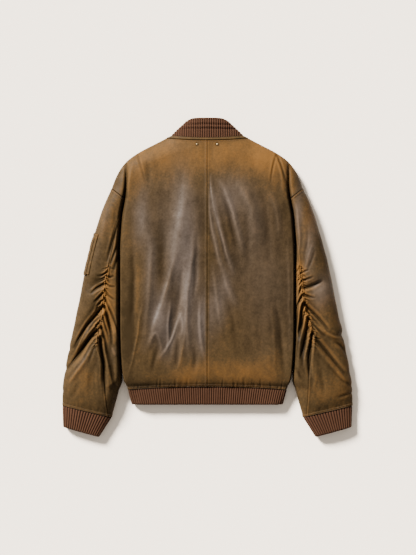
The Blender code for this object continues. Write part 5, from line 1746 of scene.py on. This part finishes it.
@dataclass
class NeckPieces:
    """Rib collar, the leather band under it and the two studs."""

    shop: Workshop
    rib_pitch: float = 5.9 * MM
    rib_height: float = 2.1 * MM
    collar_wall: float = 3.2 * MM
    band_wall: float = 1.6 * MM
    rolls: tuple[tuple[float, float, float], ...] = ((0.3965, 1.3, 2.2), (0.3860, 1.7, 2.0))
    stud_place: tuple[float, float] = (0.0262, 0.3445)
    stud_radius: float = 3.2 * MM
    stud_height: float = 1.8 * MM

    def angles(self, spacing: float, level: float) -> Array:
        """Angles of even spacing round the neck, from one front edge to the other."""
        front = math.pi - math.asin(FORM.zip_half / float(curve(OUTLINE, 1, FORM.neck_side_y)))
        fine = np.linspace(-front, front, 4001)
        run = run_length(FORM.neck_point(fine, np.full_like(fine, level))[:, None], 0)[:, 0]
        return np.interp(np.linspace(0, run[-1], int(run[-1] / spacing)), run, fine)

    def build_collar(self) -> None:
        """Builds the rib collar with its two soft rolls."""
        angle, level = grid(self.angles(0.62 * MM, 1.3), np.linspace(1.0, 2.0, 36))
        cloth = Cloth(FORM.neck_point(angle, level), (0.5, 0.5))
        x, y = cloth.x, cloth.y
        half = blend(FORM.collar_half_base, FORM.collar_half_top, level - 1)
        on_back = np.cos(angle) >= 0
        middle = cloth.length_u[:, 18:19]
        from_back = np.abs(middle - middle[-1] / 2)
        past_side = from_back - np.interp(math.pi / 2, angle[:, 0], from_back[:, 0])
        steady = ease((np.abs(angle) - math.pi / 2) / 0.5)
        way = past_side + half + (half.mean() - half) * steady
        rib, gap = rib_shape(np.where(on_back, np.abs(x), way) / self.rib_pitch)
        at_top = ease(cloth.gap(Edge.LAST_V) / (3 * MM))
        roll = np.zeros_like(x)
        for at, depth, width in self.rolls:
            stronger = 0.75 + 0.35 * ease((x + 0.05) / 0.1)
            line = at + 0.9 * MM * waves(x, 0 * x, 0.05, int(at * 1000))
            roll -= depth * MM * stronger * bell(y - line, width * MM)
            roll += 0.9 * MM * bell(y - line - 6.5 * MM, 3.2 * MM)
        cloth.puff(roll * on_back * ease(np.cos(angle) / 0.25))
        cloth.puff(self.rib_height * (rib - 1) * (0.35 + 0.65 * at_top))
        cloth.puff(-1.6 * MM * bell(cloth.gap(Edge.LAST_V), 1.6 * MM))
        cloth.puff(-0.8 * MM * bell(cloth.gap(Edge.FIRST_V), 1.5 * MM))
        # Painted shade in the rib gaps, along the seam and in the rolls, and an even darkening
        # overall.
        cloth.dark = np.clip(0.8 * gap + 0.5 * bell(cloth.gap(Edge.FIRST_V), 1.6 * MM), 0, 1)
        rolled = np.clip(-roll / (1.6 * MM), 0, 1) * on_back
        cloth.dark = np.clip(cloth.dark + 0.10 + 0.30 * rolled, 0, 1)
        make_sheet("rib_collar", cloth, self.collar_wall, self.shop.knit, "knit", "collar_rib")

    def build_band(self) -> None:
        """Builds the leather band."""
        angle, level = grid(self.angles(1.4 * MM, 0.5), np.linspace(0.0, 1.04, 12))
        cloth = Cloth(FORM.neck_point(angle, level), (0.5, 0.5))
        cloth.puff(0.8 * MM * bell(cloth.gap(Edge.FIRST_V) - 3.2 * MM, 2.2 * MM))
        cloth.turn_under((Edge.FIRST_V, Edge.LAST_V), 1.2 * MM, 1.1 * MM)
        cloth.tan = 0.10 + zones(WEAR_LIGHT_AND_SHADE_ZONES, cloth.x, cloth.y)
        make_sheet("neck_band", cloth, self.band_wall, self.shop.leather, "leather", "collar_band")
        self.shop.sew(cloth, Edge.LAST_V, 2.2 * MM, low=0.02, high=0.98)

    def build_stud(self, hand: Hand) -> None:
        """Builds one stud: a turned profile with a rolled rim and a low dome.

        Args:
            hand: Which stud.
        """
        x, y = (np.array([value]) for value in self.stud_place)
        spot = FORM.body_top(x, y, hand)[0]
        ahead = FORM.body_top(x, y + 2 * MM, hand)[0] - spot
        aside = FORM.body_top(x + 2 * MM, y, hand)[0] - spot
        up = unit(np.cross(aside, ahead) * hand.value)
        across = unit(np.cross(up, ahead))
        ahead = np.cross(up, across)
        tilt = np.linspace(0, math.pi / 2, 9)
        rim = [(0.86, -0.35), (1.0, -0.2), (1.06, 0.12), (1.0, 0.32), (0.90, 0.34), (0.84, 0.26)]
        dome = [(0.80 * math.cos(a), 0.26 + 0.74 * math.sin(a)) for a in tilt[:-1]]
        profile = np.array(rim + dome) * (self.stud_radius, self.stud_height)
        turn = np.arange(40) * 2 * math.pi / 40
        around = np.cos(turn)[:, None] * across + np.sin(turn)[:, None] * ahead
        rings = spot + profile[:, None, :1] * around[None] + profile[:, None, 1:] * up
        points = np.concatenate((rings.reshape(-1, 3), [spot - 0.7 * MM * up],
                                 [spot + self.stud_height * up]))
        index = np.arange(len(points) - 2).reshape(len(profile), -1)
        after = np.roll(index, -1, axis=1)
        foot, tip = (np.full(len(turn), len(points) - back) for back in (2, 1))
        quads = np.concatenate([np.stack(corners, axis=-1).reshape(-1, 4) for corners in (
            (index[:-1], after[:-1], after[1:], index[1:]), (after[0], index[0], foot, foot),
            (index[-1], after[-1], tip, tip))])
        if signed_volume(points - spot, quads) < 0:
            quads = quads[:, ::-1]
        faces = [list(dict.fromkeys(face)) for face in quads.tolist()]
        dress(new_object(f"neck_stud_{hand.word}", points, faces), self.shop.stud, "metal",
              f"stud_{hand.word}")


@dataclass
class HemAndCuffs:
    """Rib knit at the hem and round both wrists."""

    shop: Workshop
    hem_pitch: float = 5.7 * MM
    cuff_pitch: float = 6.4 * MM
    rib_height: float = 1.7 * MM
    wall: float = 2.6 * MM

    def finish_rib(self, name: str, node: str, cloth: Cloth, phase: Array, shade: float) -> None:
        """Adds ribs to a ring, and builds it.

        Args:
            name: Piece name.
            node: CAD node that it stands for.
            cloth: The ring.
            phase: Place along the ring, in ribs.
            shade: Strength of the painted shade in the grooves.
        """
        rib, gap = rib_shape(phase)
        cloth.puff(self.rib_height * (rib - 1))
        cloth.puff(-0.7 * MM * bell(cloth.gap(Edge.FIRST_V), 1.6 * MM))
        cloth.puff(-1.1 * MM * bell(cloth.gap(Edge.LAST_V), 1.3 * MM))
        # Painted shade in the rib grooves and along the seam.
        cloth.dark = np.clip(shade * gap + 0.5 * bell(cloth.gap(Edge.FIRST_V), 2.0 * MM), 0, 1)
        make_sheet(name, cloth, self.wall, self.shop.knit, "knit", node)

    def build_hem(self) -> None:
        """Builds the hem rib, in one strip from one front edge to the other."""
        fine = np.linspace(-2, 2, 6001)
        run = run_length(FORM.hem_point(fine, np.full_like(fine, 0.5))[:, None], 0)[:, 0]
        place = np.interp(np.linspace(0, run[-1], 1240), run, fine)
        u, v = grid(place, np.linspace(0, 1, 14))
        cloth = Cloth(FORM.hem_point(u, v), (0.5, 0.5))
        on_top = ease((1.05 - np.abs(u)) / 0.1)
        cloth.lift(0.5 * MM * waves(cloth.x, 0.3 * cloth.y, 0.028, 95) * on_top * ease(v / 0.15))
        middle = cloth.length_u[:, 7:8]
        phase = middle / self.hem_pitch + 0 * v
        self.finish_rib("rib_hem", "hem_rib", cloth, phase, 0.82)

    def build_cuff(self, hand: Hand) -> None:
        """Builds one cuff, a closed ring with a whole number of ribs.

        Args:
            hand: Which cuff.
        """
        fine = np.linspace(0, 2, 4001)
        run = run_length(FORM.cuff_point(fine, np.full_like(fine, 0.5), hand)[:, None], 0)[:, 0]
        ribs = round(run[-1] / self.cuff_pitch)
        turn = np.interp(np.arange(ribs * 10) / (ribs * 10) * run[-1], run, fine)
        u, v = grid(turn, np.linspace(0, 1, 18))
        cloth = Cloth(FORM.cuff_point(u, v, hand), (0.25, 0.5), closed=True)
        phase = np.arange(ribs * 10)[:, None] / 10 + 0 * v
        self.finish_rib(f"rib_cuff_{hand.word}", f"cuff_{hand.word}", cloth, phase, 1.0)


# ---- zip
@dataclass
class ZipFastener:
    """Closed zip on the hidden front: two tapes and two rows of teeth."""

    shop: Workshop
    tooth_pitch: float = 2.9 * MM
    tooth_size: tuple[float, float, float] = (3.4 * MM, 1.35 * MM, 1.5 * MM)
    tape_half: float = 5.4 * MM
    tape_thick: float = 0.6 * MM
    low_y: float = -0.3290
    high_y: float = 0.3210

    def build_tape(self) -> None:
        """Builds the tape behind the teeth."""
        across = np.array([-1.0, -0.96, -0.5, -0.06, 0.0, 0.06, 0.5, 0.96, 1.0]) * self.tape_half
        x, y = grid(across, np.linspace(self.low_y, self.high_y, 160))
        base = np.stack((x, y, FORM.zip_lift(x, y) + 1.2 * MM), axis=-1)
        cloth = Cloth(base, (0.5, 0.5), up=-1.0)
        dress(shell("zip_tapes", cloth, self.tape_thick), self.shop.tape, "metal", "zip_chain")

    def build_teeth(self) -> None:
        """Builds the teeth: chamfered blocks that reach over the middle from both sides in turn."""
        y = np.arange(self.low_y + 3 * MM, self.high_y - 4 * MM, self.tooth_pitch / 2)
        side = np.where(np.arange(len(y)) % 2 == 0, 1.0, -1.0)
        x = side * 1.15 * MM
        base = np.stack((x, y, FORM.zip_lift(x, y) + 1.05 * MM), axis=-1)
        wide, long, tall = (0.5 * size for size in self.tooth_size)
        both = (-1, 1)
        shape = np.array([(wide * i, long * j, tall * k) for k in both for i in both for j in both])
        shape[:4, :2] *= (0.82, 0.7)
        points = (base[:, None] + shape[None]).reshape(-1, 3)
        block = np.array(((0, 1, 3, 2), (4, 6, 7, 5), (0, 4, 5, 1), (2, 3, 7, 6), (0, 2, 6, 4),
                          (1, 5, 7, 3)))
        faces = (block[None] + 8 * np.arange(len(y))[:, None, None]).reshape(-1, 4)
        if signed_volume(points - points.mean(axis=0), faces) < 0:
            faces = faces[:, ::-1]
        piece = new_object("zip_teeth", points, faces.tolist(), smooth=False)
        dress(piece, self.shop.brass, "metal")

    def dress_slider(self) -> None:
        """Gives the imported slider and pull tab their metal."""
        for name in ("zip_slider", "zip_pull_tab"):
            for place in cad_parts[name].material_slots:
                place.material = self.shop.brass


# ---- stage
@dataclass
class Studio:
    """Pale floor, soft light from the upper left and a camera straight above."""

    floor_half: float = 40.0
    floor_tone: Colour = (0.99, 0.845, 0.685)
    camera_height: float = 4.0135
    frame_height: float = 1.443
    sensor: float = 36.0
    centre: tuple[float, float] = (0.0018, 0.0)
    key_tilt: float = 61.0
    key_heading: float = 132.0
    key_strength: float = 24.0
    key_spread: float = 15.0
    sky: float = 0.63

    def build_floor(self) -> None:
        """Builds the floor."""
        half = self.floor_half
        points = np.array(((-half, -half, 0), (half, -half, 0), (half, half, 0), (-half, half, 0)))
        floor = new_object("floor", points, [(0, 1, 2, 3)], smooth=False)
        made, wires, shader = new_material("pale_floor")
        wires.feed(shader, {"Base Color": self.floor_tone, "Roughness": 0.9,
                            "Specular IOR Level": 0.1})
        floor.data.materials.append(made)

    def build_lights(self) -> None:
        """Builds the key light and the even surroundings."""
        lamp = bpy.data.lights.new("key_light", "SUN")
        lamp.energy = self.key_strength
        lamp.angle = math.radians(self.key_spread)
        key = bpy.data.objects.new("key_light", lamp)
        turned = math.radians(self.key_heading + 90.0)
        key.rotation_euler = (math.radians(self.key_tilt), 0.0, turned)
        bpy.context.scene.collection.objects.link(key)
        world = bpy.data.worlds.new("studio")
        world.use_nodes = True
        surround = world.node_tree.nodes["Background"]
        surround.inputs["Color"].default_value = (1.0, 0.995, 0.985, 1.0)
        surround.inputs["Strength"].default_value = self.sky
        bpy.context.scene.world = world

    def build_camera(self) -> None:
        """Builds the camera, which looks straight down."""
        lens = bpy.data.cameras.new("camera")
        lens.sensor_width = self.sensor
        lens.lens = self.sensor * (self.camera_height - FORM.edge_height) / self.frame_height
        lens.clip_end = 50.0
        camera = bpy.data.objects.new("camera", lens)
        camera.location = (*self.centre, self.camera_height)
        bpy.context.scene.collection.objects.link(camera)
        bpy.context.scene.camera = camera


def main() -> None:
    """Builds the whole jacket and its stage."""
    logging.basicConfig(level=logging.INFO, format="%(name)s: %(message)s")
    studio = Studio()
    studio.build_camera()
    shop = Workshop()
    for hand in Hand:
        panels = BodyPanels(shop, hand)
        panels.build_back()
        panels.build_front()
        sleeve = Sleeve(shop, hand)
        sleeve.build_outer()
        sleeve.build_inner()
    SleevePocket(shop).build()
    neck = NeckPieces(shop)
    neck.build_collar()
    neck.build_band()
    for hand in Hand:
        neck.build_stud(hand)
    ribs = HemAndCuffs(shop)
    ribs.build_hem()
    for hand in Hand:
        ribs.build_cuff(hand)
    shop.seamstress.finish("topstitching", shop.thread)
    zipper = ZipFastener(shop)
    zipper.build_tape()
    zipper.build_teeth()
    zipper.dress_slider()
    studio.build_floor()
    studio.build_lights()


if __name__ == "__main__":
    main()
